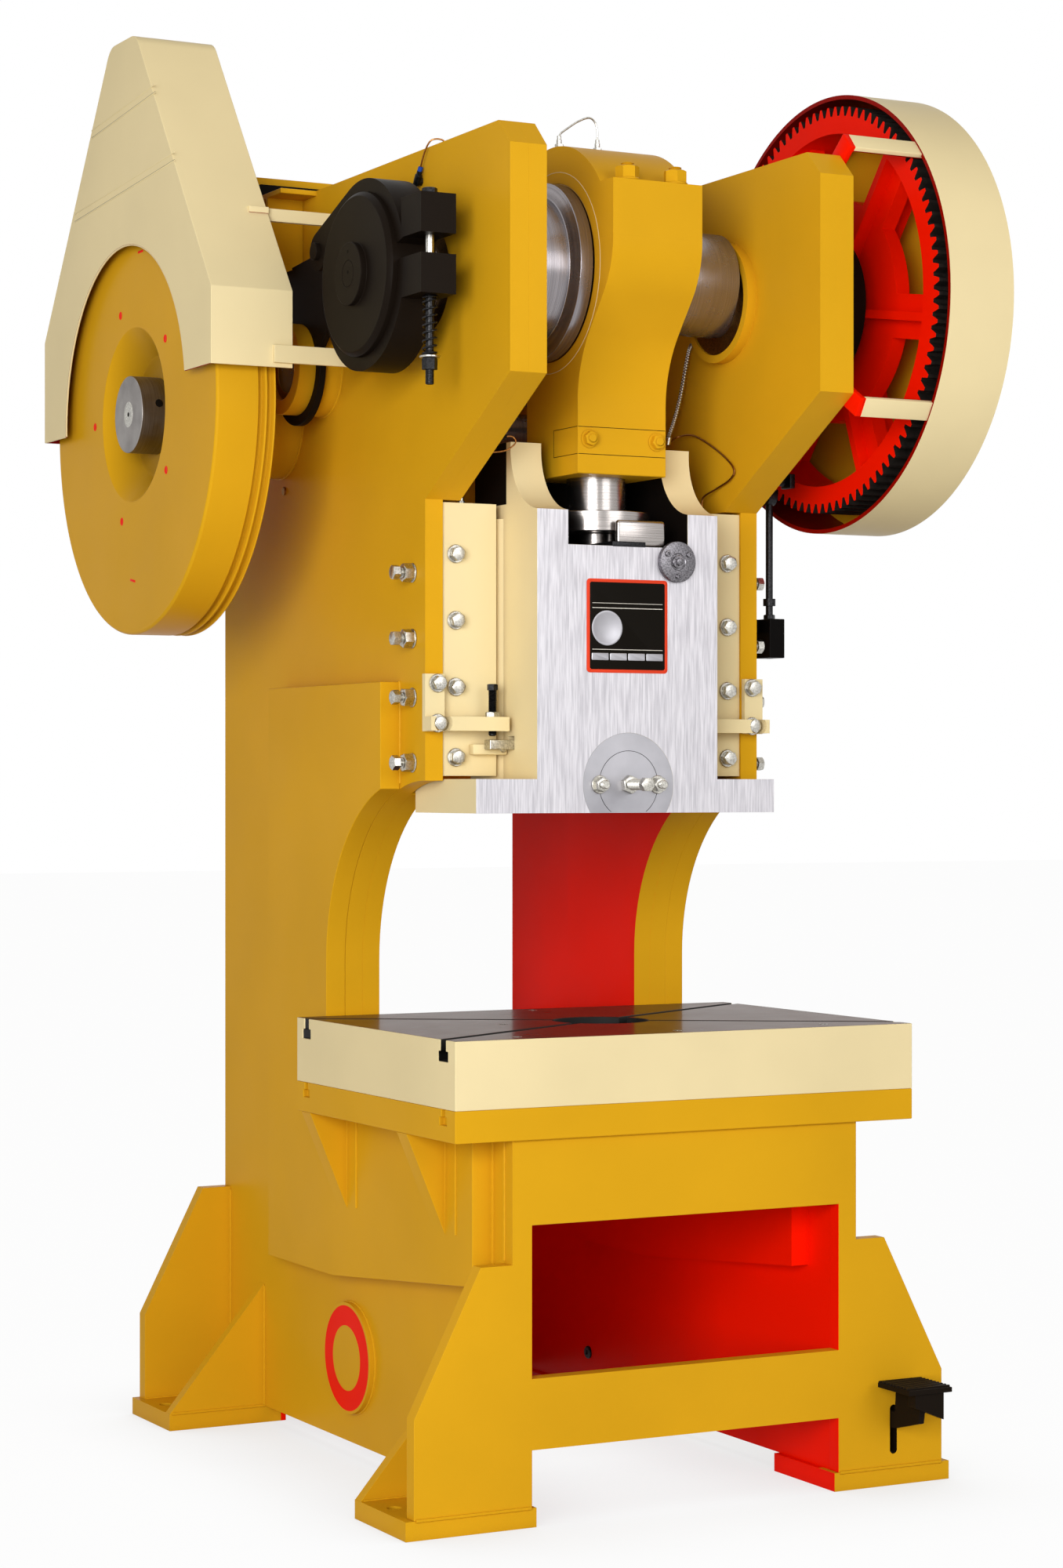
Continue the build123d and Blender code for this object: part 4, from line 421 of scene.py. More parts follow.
def make_materials(paint):
    """Every finish of the press, by name."""
    MATERIALS.clear()
    MATERIALS.update({
        "frame": frame_enamel(paint),
        # Sprayed gloss enamels, smooth and even on cast and machined parts
        "mustard": enamel("mustard_gloss_enamel", paint.mustard),
        "cream": enamel("cream_gloss_enamel", paint.cream),
        "red": enamel("red_gloss_enamel", paint.red),
        # Painted shade under a lap of the cream sheet: a soft brown line
        "lap_shade": enamel("cream_lap_shade_enamel", shade(paint.cream, 0.45)),
        "belt_guard": belt_guard_enamel(paint),
        "flywheel": flywheel_enamel(paint),
        "gear_guard": gear_guard_enamel(paint),
        "gear": gear_enamel(paint),
        # Brush-coated cast iron: nearly black brown, with a soft wide sheen
        "black": enamel("black_semi_gloss_enamel", paint.black, roughness=0.4, peel=0.08),
        # Thick black enamel on a casting: deep, with crisp highlights
        "trip": enamel("black_gloss_enamel", linear_rgb("0D0B0A"), roughness=0.3, peel=0.06),
        "ram": ram_finish(paint),
        "bolster": bolster_finish(paint),
        # Steel turned in a lathe and polished: bright bands with fine rings round the axis
        "crank": metal("turned_steel_across", "858083", "A6A1A4", 0.25,
                       stretch=(1, 0.004, 0.004), mark_mm=1.5, relief=0.04, metallic=0.85),
        "screw": metal("turned_steel_upright", "8F8986", "B4AEAA", 0.24,
                       stretch=(0.004, 0.004, 1), mark_mm=1.5, relief=0.04),
        "collar": metal("turned_steel_collar", "837E7B", "A09B97", 0.36,
                        stretch=(1, 0.02, 0.02), mark_mm=1.5, relief=0.05),
        # Faced steel: even light grey with faint turning rings
        "clamp": metal("faced_steel", "98979D", "B9B8BE", 0.38, stretch=(0.02, 1, 0.02),
                       metallic=0.6),
        # Machined and blued steel: dark grey with clear highlights
        "blued": metal("blued_steel", "504E51", "8B888D", 0.3, metallic=0.9),
        # Zinc plate: pale, slightly warm and lively
        "zinc": metal("zinc_plated_steel", "A3A098", "D3D0C8", 0.3),
        # Oil-blackened steel: black with grey at the edges where it catches light
        "blackened": metal("oil_blackened_steel", "1A1A1B", "343436", 0.36, metallic=0.8),
        # Cast bearing bronze and drawn copper tube: warm, with soft highlights
        "bronze": metal("bearing_bronze", "86632F", "B5884A", 0.35),
        "copper": metal("copper_tube", "8C5A2A", "B97F45", 0.32),
        # Machined cast iron: dull mid grey
        "cast": metal("machined_cast_iron", "565452", "7A7876", 0.45, mark_mm=2),
        # Seams and holes that no light reaches, and black strips that paint the shade in the gap
        # under the motor base
        "gap": enamel("shadowed_gap", linear_rgb("15110D"), roughness=0.7),
        "gap_shade_black": enamel("black_gap_shade", linear_rgb("141210"), roughness=0.6, peel=0.2),
        # Screen-printed aluminium nameplate: flat inks on a smooth sheet
        "plate_red": enamel("red_ink", linear_rgb("E8482C"), peel=0.0),
        "plate_black": enamel("black_ink", linear_rgb("16130F"), peel=0.0),
        "plate_white": enamel("white_ink", linear_rgb("E6E2DA"), peel=0.0),
        # Moulded plastic: an even, saturated blue
        "plate_blue": enamel("blue_plastic_sleeve", linear_rgb("2A50B0"), peel=0.0),
    })


# Shapes in millimetres, built along +Z of a matrix that sets them in place


def stand(place, direction, turn=0):
    """Matrix that sets a piece built along +Z at a place, along a direction, turned about it."""
    z = Vector(direction).normalized()
    x = Vector((0, 0, 1)).cross(z) if abs(z.z) < 0.9 else Vector((1, 0, 0))
    x.normalize()
    basis = Matrix((x, z.cross(x), z)).transposed().to_4x4()
    return Matrix.Translation(place) @ basis @ Matrix.Rotation(math.radians(turn), 4, "Z")


def circle(radius, height, count=40):
    """Points of a level circle."""
    angles = (2 * math.pi * i / count for i in range(count))
    return [(radius * math.cos(a), radius * math.sin(a), height) for a in angles]


def skin(shape, at, rings, looped=False):
    """Joins rings of points into a closed surface, with flat ends or as a loop."""
    made = [[shape.verts.new(at @ Vector(point)) for point in ring] for ring in rings]
    count = len(rings[0])
    pairs = list(zip(made, made[1:]))
    if looped:
        pairs.append((made[-1], made[0]))
    else:
        shape.faces.new(reversed(made[0]))
        shape.faces.new(made[-1])
    for low, high in pairs:
        for i in range(count):
            j = (i + 1) % count
            shape.faces.new((low[i], low[j], high[j], high[i]))


def turned(shape, at, *profile, looped=False, count=40):
    """Turned piece from (radius, height) points, from its foot up its outside."""
    skin(shape, at, [circle(radius, height, count) for radius, height in profile], looped)


def pin(shape, at, radius, low, high):
    """Plain round pin or shank between two heights."""
    turned(shape, at, (radius, low), (radius, high), count=24)


def washer(shape, at, radius, bore, thickness):
    """Flat washer with its edges broken."""
    edge = 0.3 * thickness
    turned(shape, at, (bore, 0), (radius - edge, 0), (radius, edge), (radius, thickness - edge),
           (radius - edge, thickness), (bore, thickness), looped=True)


def hexagon(shape, at, flats, height, foot=0):
    """Hexagon head or nut from foot up, with its corners turned off at 30 degrees."""
    crown = 0.47 * flats
    low, side = [], []
    for step in range(48):
        angle = math.radians(7.5 * step)
        off = math.radians((7.5 * step + 30) % 60 - 30)
        reach = flats / 2 / math.cos(off)
        x, y = reach * math.cos(angle), reach * math.sin(angle)
        low.append((x, y, foot))
        side.append((x, y, foot + height - (reach - crown) * math.tan(math.radians(30))))
    skin(shape, at, [low, side, circle(crown, foot + height, 48),
                     circle(crown - 0.6, foot + height + 0.2, 48)])


def thread(shape, at, radius, low, high, count=24):
    """Threaded rod with a broken end: crest and root run round it as two helices."""
    pitch = bpy.context.scene.press_details.thread_pitch / MM
    steps = int((high - low) / pitch + 1) * count
    crest, root = [], []
    for i in range(-count, steps + 1):
        angle = 2 * math.pi * i / count
        for line, reach, lag in ((crest, radius, 0), (root, radius - 0.55 * pitch, 0.5)):
            height = min(high, max(low, low + pitch * (i / count + lag)))
            line.append(shape.verts.new(at @ Vector((reach * math.cos(angle),
                                                     reach * math.sin(angle), height))))
    for i in range(len(crest) - 1):
        shape.faces.new((crest[i], crest[i + 1], root[i + 1], root[i]))
        if i + 1 + count < len(crest):
            shape.faces.new((root[i], root[i + 1], crest[i + 1 + count], crest[i + count]))
    turned(shape, at, (radius - 0.3 * pitch, high - 0.5), (radius - 0.2, high - 0.3),
           (radius - 1.6, high + 1.1))


def slab(shape, x, y, z, edge=1.2, at=Matrix.Identity(4)):
    """Straight block between limits on each axis, with its edges rounded."""
    middle = Matrix.Translation([(low + high) / 2 for low, high in (x, y, z)])
    size = Matrix.Diagonal([*(abs(high - low) for low, high in (x, y, z)), 1])
    made = bmesh.ops.create_cube(shape, size=1, matrix=at @ middle @ size)
    edges = {line for corner in made["verts"] for line in corner.link_edges}
    bmesh.ops.bevel(shape, geom=list(edges), offset=edge, segments=3, profile=0.5,
                    affect="EDGES")


def filleted(*corners, steps=10):
    """Points of an outline in (y, z) whose (y, z, radius) corners are rounded."""
    line = []
    for i, (y, z, radius) in enumerate(corners):
        corner = Vector((y, z))
        if not radius:
            line.append((y, z))
            continue
        before = (Vector(corners[i - 1][:2]) - corner).normalized()
        after = (Vector(corners[(i + 1) % len(corners)][:2]) - corner).normalized()
        half = before.angle(after) / 2
        centre = corner + (before + after).normalized() * radius / math.sin(half)
        start, end = ((corner + way * radius / math.tan(half) - centre)
                      for way in (before, after))
        angle = math.atan2(start.y, start.x)
        turn = (math.atan2(end.y, end.x) - angle + math.pi) % (2 * math.pi) - math.pi
        for step in range(steps + 1):
            reach = angle + turn * step / steps
            line.append((centre.x + radius * math.cos(reach),
                         centre.y + radius * math.sin(reach)))
    return line


def arc(centre, radius, start, end, count=60):
    """Points of an arc in (y, z), its ends among them, with angles in degrees."""
    angles = (math.radians(start + (end - start) * i / count) for i in range(count + 1))
    return [(centre[0] + radius * math.cos(a), centre[1] + radius * math.sin(a))
            for a in angles]


def sheet(shape, *layers):
    """Joins (x, outline) layers along X, each outline in (y, z) and of as many points."""
    skin(shape, Matrix.Identity(4), [[(x, y, z) for y, z in outline] for x, outline in layers])
    ends = [face for face in shape.faces if len(face.verts) > 4]
    bmesh.ops.triangulate(shape, faces=ends, ngon_method="EAR_CLIP")


def smooth_line(points, per_span=8):
    """Points of a smooth line through the given points."""
    ends = [points[0], *points, points[-1]]
    line = []
    for before, start, end, after in zip(ends, ends[1:], ends[2:], ends[3:]):
        before, start, end, after = (Vector(p) for p in (before, start, end, after))
        for step in range(per_span):
            t = step / per_span
            line.append(0.5 * (2 * start + (end - before) * t
                               + (2 * before - 5 * start + 4 * end - after) * t ** 2
                               + (3 * start - before - 3 * end + after) * t ** 3))
    return line + [Vector(points[-1])]


def tube(shape, line, radius, count=10, looped=False):
    """Round tube along a line of points. The radius is a number or a function of the step."""
    size = len(line)
    rings = []
    side = Vector((0.3, 0.2, 0.9))
    for i, point in enumerate(line):
        ahead = line[(i + 1) % size] if looped else line[min(i + 1, size - 1)]
        behind = line[i - 1] if looped else line[max(i - 1, 0)]
        along = (ahead - behind).normalized()
        side = (side - side.dot(along) * along).normalized()
        across = along.cross(side)
        reach = radius(i) if callable(radius) else radius
        rings.append([point + reach * (math.cos(2 * math.pi * k / count) * side
                                       + math.sin(2 * math.pi * k / count) * across)
                      for k in range(count)])
    skin(shape, Matrix.Identity(4), rings, looped)


def pipe(shape, radius, *points):
    """Bent pipe through points."""
    tube(shape, smooth_line(points), radius, count=8)


def weld(shape, *corners, leg, ripple, looped=False):
    """Fillet weld along straight runs between corners, as a rippled bead half in the corner."""
    line = []
    runs = list(zip(corners, corners[1:] + (corners[:1] if looped else ())))
    for start, end in runs:
        start, end = Vector(start), Vector(end)
        steps = max(1, round((end - start).length / ripple * 3))
        line += [start.lerp(end, i / steps) for i in range(steps)]
    if not looped:
        line.append(Vector(corners[-1]))
    tube(shape, line, lambda i: leg * (0.62, 0.7, 0.66)[i % 3] + 0.25 * math.sin(0.7 * i),
         count=8, looped=looped)


def add_object(name, data):
    """Adds an object with its mesh, lamp or camera to the scene."""
    made = bpy.data.objects.new(name, data)
    bpy.context.scene.collection.objects.link(made)
    return made


def piece(name, shape, finish, body, paint_slot, *replaced):
    """Turns a shape in millimetres into an object of one finish that rides on a body."""
    bmesh.ops.scale(shape, vec=(MM, MM, MM), verts=shape.verts)
    mesh = bpy.data.meshes.new(name)
    shape.to_mesh(mesh)
    shape.free()
    mesh.materials.append(MATERIALS[finish])
    mesh.shade_smooth()
    mesh.set_sharp_from_angle(angle=math.radians(35))
    made = add_object(name, mesh)
    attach(made, body)
    if replaced:
        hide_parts(*replaced)
    return made


NODE_FINISHES = {
    "frame": ["side_plate_left", "side_plate_right", "inner_plate_left", "inner_plate_right",
              "outer_plate_left", "outer_plate_right", "front_panel", "rear_panel",
              "rear_upper_plate", "foot_front_left", "foot_front_right", "foot_rear_left",
              "foot_rear_right", "bed_plate", "top_plate", "motor_base",
              "pinion_housing_left", "pinion_housing_right"],
    "mustard": ["connecting_rod", "rod_cap", "flywheel", "cap_bolts", "clamp_bolts"],
    "cream": ["gib_left", "gib_right", "knockout_bracket_left",
              "knockout_bracket_right"],
    "belt_guard": ["belt_guard"],
    "gear_guard": ["gear_guard"],
    "gear": ["bull_gear"],
    "black": ["brake_drum", "brake_shoe_upper", "brake_shoe_lower", "brake_anchor_plate",
              "clutch_housing", "foot_pedal"],
    "trip": ["trip_block"],
    "ram": ["ram"],
    "bolster": ["bolster_plate"],
    "crank": ["crankshaft", "eccentric_sleeve", "flywheel_shaft", "pinion_shaft",
              "intermediate_gear"],
    "screw": ["ball_screw"],
    "collar": ["flywheel_collar"],
    "clamp": ["shank_clamp"],
    "zinc": ["gib_bolts", "gib_adjusting_screws", "shank_bolts", "knockout_bar"],
    "blackened": ["brake_bolt", "brake_spring", "trip_rod", "knockout_screws"],
    "bronze": ["crank_bushes", "rod_bush", "shaft_bushes"],
    "cast": ["ball_cup"],
}


def round_edges(solid, width, clean=True):
    """Rounds a solid's sharp edges with modifiers, which leave its mesh as it is."""
    tidy = (("WELD", {"merge_threshold": 0.00002}),
            ("DECIMATE", {"decimate_type": "DISSOLVE", "angle_limit": math.radians(0.4)}))
    for kind, settings in (
        *(tidy if clean else ()),
        ("BEVEL", {"width": width, "segments": 2, "limit_method": "ANGLE",
                   "angle_limit": math.radians(28)}),
        ("WEIGHTED_NORMAL", {"keep_sharp": False}),
    ):
        modifier = solid.modifiers.new(kind.lower(), kind)
        for name, value in settings.items():
            setattr(modifier, name, value)


class PRESS_OT_paint_solids(bpy.types.Operator):
    """Gives every CAD node its finish and rounds its edges"""

    bl_idname = "press.paint_solids"
    bl_label = "Paint solids"

    def execute(self, context):
        make_materials(context.scene.press_paint)
        edge = context.scene.press_details.edge
        for finish, names in NODE_FINISHES.items():
            for name in names:
                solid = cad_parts[name]
                for slot in solid.material_slots:
                    slot.material = MATERIALS[finish]
                if name != "brake_spring":
                    round_edges(solid, edge)
        return {"FINISHED"}


class PRESS_OT_gib_bolts(bpy.types.Operator):
    """Zinc plated bolts with washers that hold the gibs and the knock-out brackets"""

    bl_idname = "press.gib_bolts"
    bl_label = "Gib bolts"

    def execute(self, context):
        shape = bmesh.new()
        places = [(290, -302, z, 34) for z in (1713, 1591, 1469, 1340)]
        places += [(335, -319, z, 44) for z in (1475, 1402)]
        for number, (x, y, z, grip) in enumerate(places):
            for side in SIDES:
                at = stand((side * x, y, z), FRONT, 23 * number + 11 * side)
                washer(shape, at, 17, 8, 4)
                turned(shape, at, (12, 4), (12.6, 4.6), (12.6, 5.4))
                hexagon(shape, at, 24, 12, foot=5)
                pin(shape, at, 8, -grip, 1)
        piece("gib_bolts_detailed", shape, "zinc", "frame", "plated_steel", "gib_bolts")
        return {"FINISHED"}


class PRESS_OT_adjusting_screws(bpy.types.Operator):
    """Adjusting screws of the gibs, with lock nuts against the side plates"""

    bl_idname = "press.adjusting_screws"
    bl_label = "Adjusting screws"

    def execute(self, context):
        shape = bmesh.new()
        for number, z in enumerate((1679, 1558, 1450, 1330)):
            for side in SIDES:
                at = stand((side * 282, -255, z), (side, 0, 0), 17 * number + 9 * side)
                pin(shape, at, 9.4, 0, 73)
                washer(shape, at @ Matrix.Translation((0, 0, 72)), 18, 10, 3)
                hexagon(shape, at, 30, 19, foot=75)
                thread(shape, at, 10, 90, 103)
                hexagon(shape, at @ Matrix.Rotation(0.4, 4, "Z"), 24, 13, foot=102)
        piece("adjusting_screws_detailed", shape, "zinc", "frame", "plated_steel",
              "gib_adjusting_screws")
        return {"FINISHED"}


class PRESS_OT_knockout_screws(bpy.types.Operator):
    """Knock-out screws with bright lock nuts, and the retaining strip on the left gib"""

    bl_idname = "press.knockout_screws"
    bl_label = "Knock-out screws"

    def execute(self, context):
        screws, nuts = bmesh.new(), bmesh.new()
        for side in SIDES:
            at = stand((side * 229, -332, 1379), UP, 15 * side)
            turned(screws, at, (5, 0), (7, 2), (7, 4), count=24)
            thread(screws, at, 8, 3, 84)
            hexagon(screws, at, 18, 11, foot=84)
            hexagon(nuts, at, 24, 9, foot=35)
        piece("knockout_screws_detailed", screws, "blackened", "frame", "black_steel",
              "knockout_screws")
        piece("knockout_lock_nuts", nuts, "zinc", "frame", "plated_steel")
        strip = bmesh.new()
        slab(strip, (-262, -192), (-320, -301), (1345, 1364), edge=2)
        piece("retaining_strip", strip, "cream", "frame", "cream_paint")
        head = bmesh.new()
        turned(head, stand((-201, -319.5, 1354.5), FRONT), (6, 0), (6, 1.5), (4.5, 3), (1, 3.4))
        piece("retaining_strip_screw", head, "zinc", "frame", "plated_steel")
        return {"FINISHED"}


class PRESS_OT_connecting_rod(bpy.types.Operator):
    """Connecting rod whose front and back flow in one curve from the big end to the clamp"""

    bl_idname = "press.connecting_rod"
    bl_label = "Connecting rod"

    def execute(self, context):
        (axis_y, pin_z), split_z, bore_r = CRANK_PIN, 2280, 165
        outline = filleted(
            (axis_y - 234, split_z, 0), (axis_y - 234, 2222, 158), (axis_y - 100, 2062, 200),
            (axis_y - 100, 1861, 3), (axis_y + 100, 1861, 3), (axis_y + 100, 2062, 200),
            (axis_y + 234, 2222, 158), (axis_y + 234, split_z, 0))
        rise = math.degrees(math.asin((split_z - pin_z) / bore_r))
        outline += arc(CRANK_PIN, bore_r, rise, -180 - rise, 72)
        shape = bmesh.new()
        sheet(shape, (-93, outline), (93, outline))
        made = piece("connecting_rod_cast", shape, "mustard", "rod", "mustard_paint",
                     "connecting_rod")
        round_edges(made, context.scene.press_details.edge, clean=False)
        return {"FINISHED"}


class PRESS_OT_rod_fasteners(bpy.types.Operator):
    """Painted nuts on the rod's cap, painted clamp bolts and the seams of the clamp"""

    bl_idname = "press.rod_fasteners"
    bl_label = "Rod fasteners"

    def execute(self, context):
        cap = bmesh.new()
        for number, x in enumerate((-50, 50)):
            for y in (-518, -100):
                at = stand((x, y, 2382), UP, 10 + 31 * number)
                washer(cap, at, 23, 12, 5)
                hexagon(cap, at, 38, 22, foot=5)
                thread(cap, at, 12, 20, 32)
                pin(cap, at, 12, -157, 6)
        piece("cap_nuts", cap, "mustard", "rod", "mustard_paint", "cap_bolts")
        clamp, front, rod_side, top, foot = bmesh.new(), -409, -93, 1947, 1897
        for number, x in enumerate((-69, 73)):
            at = stand((x, front, 1925), FRONT, 12 + 28 * number)
            washer(clamp, at, 17, 8, 3)
            hexagon(clamp, at, 24, 10, foot=3)
            thread(clamp, at, 8, 11, 16)
            pin(clamp, at, 8, -214, 4)
            hexagon(clamp, at @ Matrix.Translation((0, 0, -210)), 24, 10)
        piece("clamp_nuts", clamp, "mustard", "rod", "mustard_paint", "clamp_bolts")
        seams = bmesh.new()
        depth = (rod_side - 0.25, rod_side + 0.5)
        for z in (top, foot):
            height = (z - 0.6, z + 0.6)
            slab(seams, (-92, 92), (front - 0.25, front + 0.5), height, edge=0.2)
            slab(seams, depth, (-408, -316), height, edge=0.2)
        slab(seams, depth, (-316.6, -315.4), (foot, top), edge=0.2)
        piece("clamp_seams", seams, "gap", "rod", "black_steel")
        ring = bmesh.new()
        line = [Vector((rod_side, *p)) for p in arc(CRANK_PIN, 186, 0, 354)]
        tube(ring, line, 0.7, count=6, looped=True)
        piece("rod_face_ring", ring, "cream", "rod", "cream_paint")
        return {"FINISHED"}


class PRESS_OT_shank_clamp_fasteners(bpy.types.Operator):
    """Studs, nuts and set screw of the shank clamp, with the fine seam round its middle"""

    bl_idname = "press.shank_clamp_fasteners"
    bl_label = "Shank clamp fasteners"

    def execute(self, context):
        shape = bmesh.new()
        for side in SIDES:
            at = stand((side * 61, RAM_Y, SHANK_Z), FRONT, 20 + 12 * side)
            washer(shape, at, 17, 8, 3)
            hexagon(shape, at, 24, 14, foot=3)
            thread(shape, at, 8, 15, 26)
            pin(shape, at, 7.5, -80, 4)
        at = stand((0, RAM_Y, SHANK_Z), FRONT, 8)
        hexagon(shape, at, 30, 13)
        thread(shape, at, 10, 12, 66)
        pin(shape, at, 9.4, -98, 14)
        turned(shape, at, (11, 58), (11.4, 59), (11.4, 62))
        hexagon(shape, at @ Matrix.Rotation(0.35, 4, "Z"), 24, 13, foot=62)
        piece("shank_clamp_fasteners", shape, "zinc", "ram_body", "plated_steel",
              "shank_bolts")
        seam = bmesh.new()
        radius, drop = 62, 50
        span = math.degrees(math.asin(drop / radius))
        line = [Vector((x, RAM_Y, z)) for x, z in arc((0, SHANK_Z), radius, -span, 180 + span)]
        tube(seam, line, 0.5, count=6)
        piece("shank_clamp_seam", seam, "gap", "ram_body", "black_steel")
        return {"FINISHED"}


class PRESS_OT_adjuster_cap(bpy.types.Operator):
    """Round cap over the screw lock, with three screws and a hexagon plug"""

    bl_idname = "press.adjuster_cap"
    bl_label = "Adjuster cap"

    def execute(self, context):
        shape = bmesh.new()
        at = stand((100, RAM_Y, 1702), FRONT)
        turned(shape, at, (38, 0), (38, 8.4), (37.4, 9.6), (36.2, 10), (16, 10), (14.6, 9),
               (13, 9), count=72)
        turned(shape, at, (12, 8), (12, 12.5), (11, 13.4), (5, 13.4))
        hexagon(shape, at, 13, 6, foot=12)
        for angle in (147, 31, 270):
            spot = at @ Matrix.Rotation(math.radians(angle + 90), 4, "Z")
            spot = spot @ Matrix.Translation((0, -27, 9.8))
            turned(shape, spot, (5.4, 0), (5.4, 3.4), (4.6, 4.2), (2.6, 4.2), (2.2, 1.6))
        piece("adjuster_cap_detailed", shape, "blued", "ram_body", "milled_steel",
              "adjuster_cap")
        tab = bmesh.new()
        slab(tab, (-34, 36), (-434.8, -350), (1727, 1737), edge=1.5)
        piece("screw_lock_plate", tab, "blackened", "ram_body", "black_steel")
        block = bmesh.new()
        slab(block, (-22, 80), (-432, -419), (1728.2, 1777), edge=6)
        piece("screw_lock_block", block, "screw", "ram_body", "milled_steel")
        return {"FINISHED"}


class PRESS_OT_nameplate(bpy.types.Operator):
    """Blank riveted plate on the ram: black field, red border, silver blank and four boxes"""

    bl_idname = "press.nameplate"
    bl_label = "Nameplate"

    def rounded(self, shape, x, z, front, back, radius):
        """Upright plate with rounded corners between two depths."""
        (left, right), (low, high) = x, z
        corners = ((right - radius, high - radius), (left + radius, high - radius),
                   (left + radius, low + radius), (right - radius, low + radius))
        outline = [point for number, corner in enumerate(corners)
                   for point in arc(corner, radius, 90 * number, 90 * number + 90, 6)]
        shrunk = [(px + ((left + right) / 2 - px) / (right - left),
                   pz + ((low + high) / 2 - pz) / (high - low)) for px, pz in outline]
        skin(shape, Matrix.Identity(4), [[(px, back, pz) for px, pz in outline],
                                         [(px, front + 0.4, pz) for px, pz in outline],
                                         [(px, front, pz) for px, pz in shrunk]])

    def execute(self, context):
        left, right, low, high, rim = -88, 82, 1495, 1667, 6
        border = bmesh.new()
        self.rounded(border, (left, right), (low, high), -435.4, -433.5, 7)
        piece("nameplate_border", border, "plate_red", "ram_body", "red_paint")
        field = bmesh.new()
        self.rounded(field, (left + rim, right - rim), (low + rim, high - rim), -435.8, RAM_Y,
                     4)
        piece("nameplate_field", field, "plate_black", "ram_body", "black_paint")
        lines = bmesh.new()
        for height in ((1537, 1538.2), (1613, 1614.4), (1622, 1623)):
            slab(lines, (left + 11, right - 11), (-436, -435.2), height, edge=0.3)
        piece("nameplate_lines", lines, "plate_white", "ram_body", "cream_paint")
        blanks = bmesh.new()
        turned(blanks, stand((-46, -435.6, 1577), FRONT), (32, 0), (32, 0.3), (31.4, 0.6),
               (28, 0.6), (27.6, 0.35), (1, 0.35), count=72)
        for number in range(4):
            x = left + 10 + 38.2 * number
            self.rounded(blanks, (x, x + 35), (1518, 1531), -436.2, -435.2, 1.5)
        piece("nameplate_blanks", blanks, "clamp", "ram_body", "plated_steel")
        rivets = bmesh.new()
        for x in (left + 5.5, right - 5.5):
            for z in (low + 5.5, high - 5.5):
                turned(rivets, stand((x, -435.2, z), FRONT), (3, 0), (2.7, 0.8), (1.8, 1.4),
                       (0.6, 1.6), count=20)
        piece("nameplate_rivets", rivets, "plate_red", "ram_body", "red_paint")
        return {"FINISHED"}


class PRESS_OT_brake_details(bpy.types.Operator):
    """Brake bolt with its coil spring, the drum's plug, and the crank's grease nipple and pipe"""

    bl_idname = "press.brake_details"
    bl_label = "Brake details"

    def execute(self, context):
        bolt = bmesh.new()
        bolt_x, bolt_y = -446, -515
        at = stand((bolt_x, bolt_y, 1992), UP, 12)
        thread(bolt, at, 8, 1.5, 60)
        turned(bolt, at, (6, 0), (7.4, 1.6), (7.4, 158), count=24)
        hexagon(bolt, at, 24, 21, foot=26)
        hexagon(bolt, at, 24, 13, foot=332)
        turned(bolt, at, (14, 329), (14.6, 330), (14.6, 332))
        piece("brake_bolt_detailed", bolt, "blackened", "frame", "black_steel", "brake_bolt")
        shank = bmesh.new()
        pin(shank, at, 7.6, 156, 330)
        washer(shank, at @ Matrix.Translation((0, 0, 47)), 18.5, 8, 4)
        piece("brake_bolt_shank", shank, "zinc", "frame", "plated_steel")
        coil = bmesh.new()
        turns, steps, wire, radius, low, high = 9, 22, 1.7, 12.2, 2044.7, 2146.3
        line = []
        for i in range(turns * steps + 1):
            angle = 2 * math.pi * i / steps
            share = min(1, max(0, (i - steps) / (steps * (turns - 2))))
            closed = 2 * wire * (min(i, steps) + max(0, i - steps * (turns - 1))) / steps
            line.append(Vector((bolt_x + radius * math.cos(angle),
                                bolt_y + radius * math.sin(angle),
                                low + closed + share * (high - low - 4 * wire))))
        tube(coil, line, wire, count=8)
        piece("brake_spring_coil", coil, "blackened", "frame", "black_steel", "brake_spring")
        plug = bmesh.new()
        turned(plug, stand((-505, *CRANK), LEFT), (23.9, 0), (23.9, 4.2), (23.2, 4.8))
        piece("drum_hub_plug", plug, "black", "crank", "black_paint")
        spots = bmesh.new()
        for z in (2213, 2250):
            turned(spots, stand((-509.6, CRANK[0], z), LEFT), (3, 0), (3, 0.5), count=20)
        piece("drum_hub_centres", spots, "gap", "crank", "black_steel")
        nipple = bmesh.new()
        at = stand((-PLATE_X, -292, 2392), LEFT)
        hexagon(nipple, at, 14, 7)
        turned(nipple, at, (5, 7), (5, 12), (3.6, 13))
        lean = stand((-363, -292, 2392), (0, -0.55, 0.83))
        turned(nipple, lean, (6, -8), (6.6, -7), (6.6, 12), (5, 13), (5, 20), (3, 21))
        piece("crank_grease_elbow", nipple, "blackened", "frame", "black_steel")
        tip = bmesh.new()
        turned(tip, lean, (4.6, 20), (4.6, 27), (3.6, 28), count=20)
        piece("crank_grease_sleeve", tip, "plate_blue", "frame", "plated_steel")
        bent = bmesh.new()
        pipe(bent, 1.6, (-363, -306, 2414), (-363, -322, 2438), (-360, -338, 2456),
             (-350, -345, 2461), (-336, -346, 2459), (-330, -346, 2449))
        piece("crank_grease_pipe", bent, "copper", "frame", "bronze")
        return {"FINISHED"}


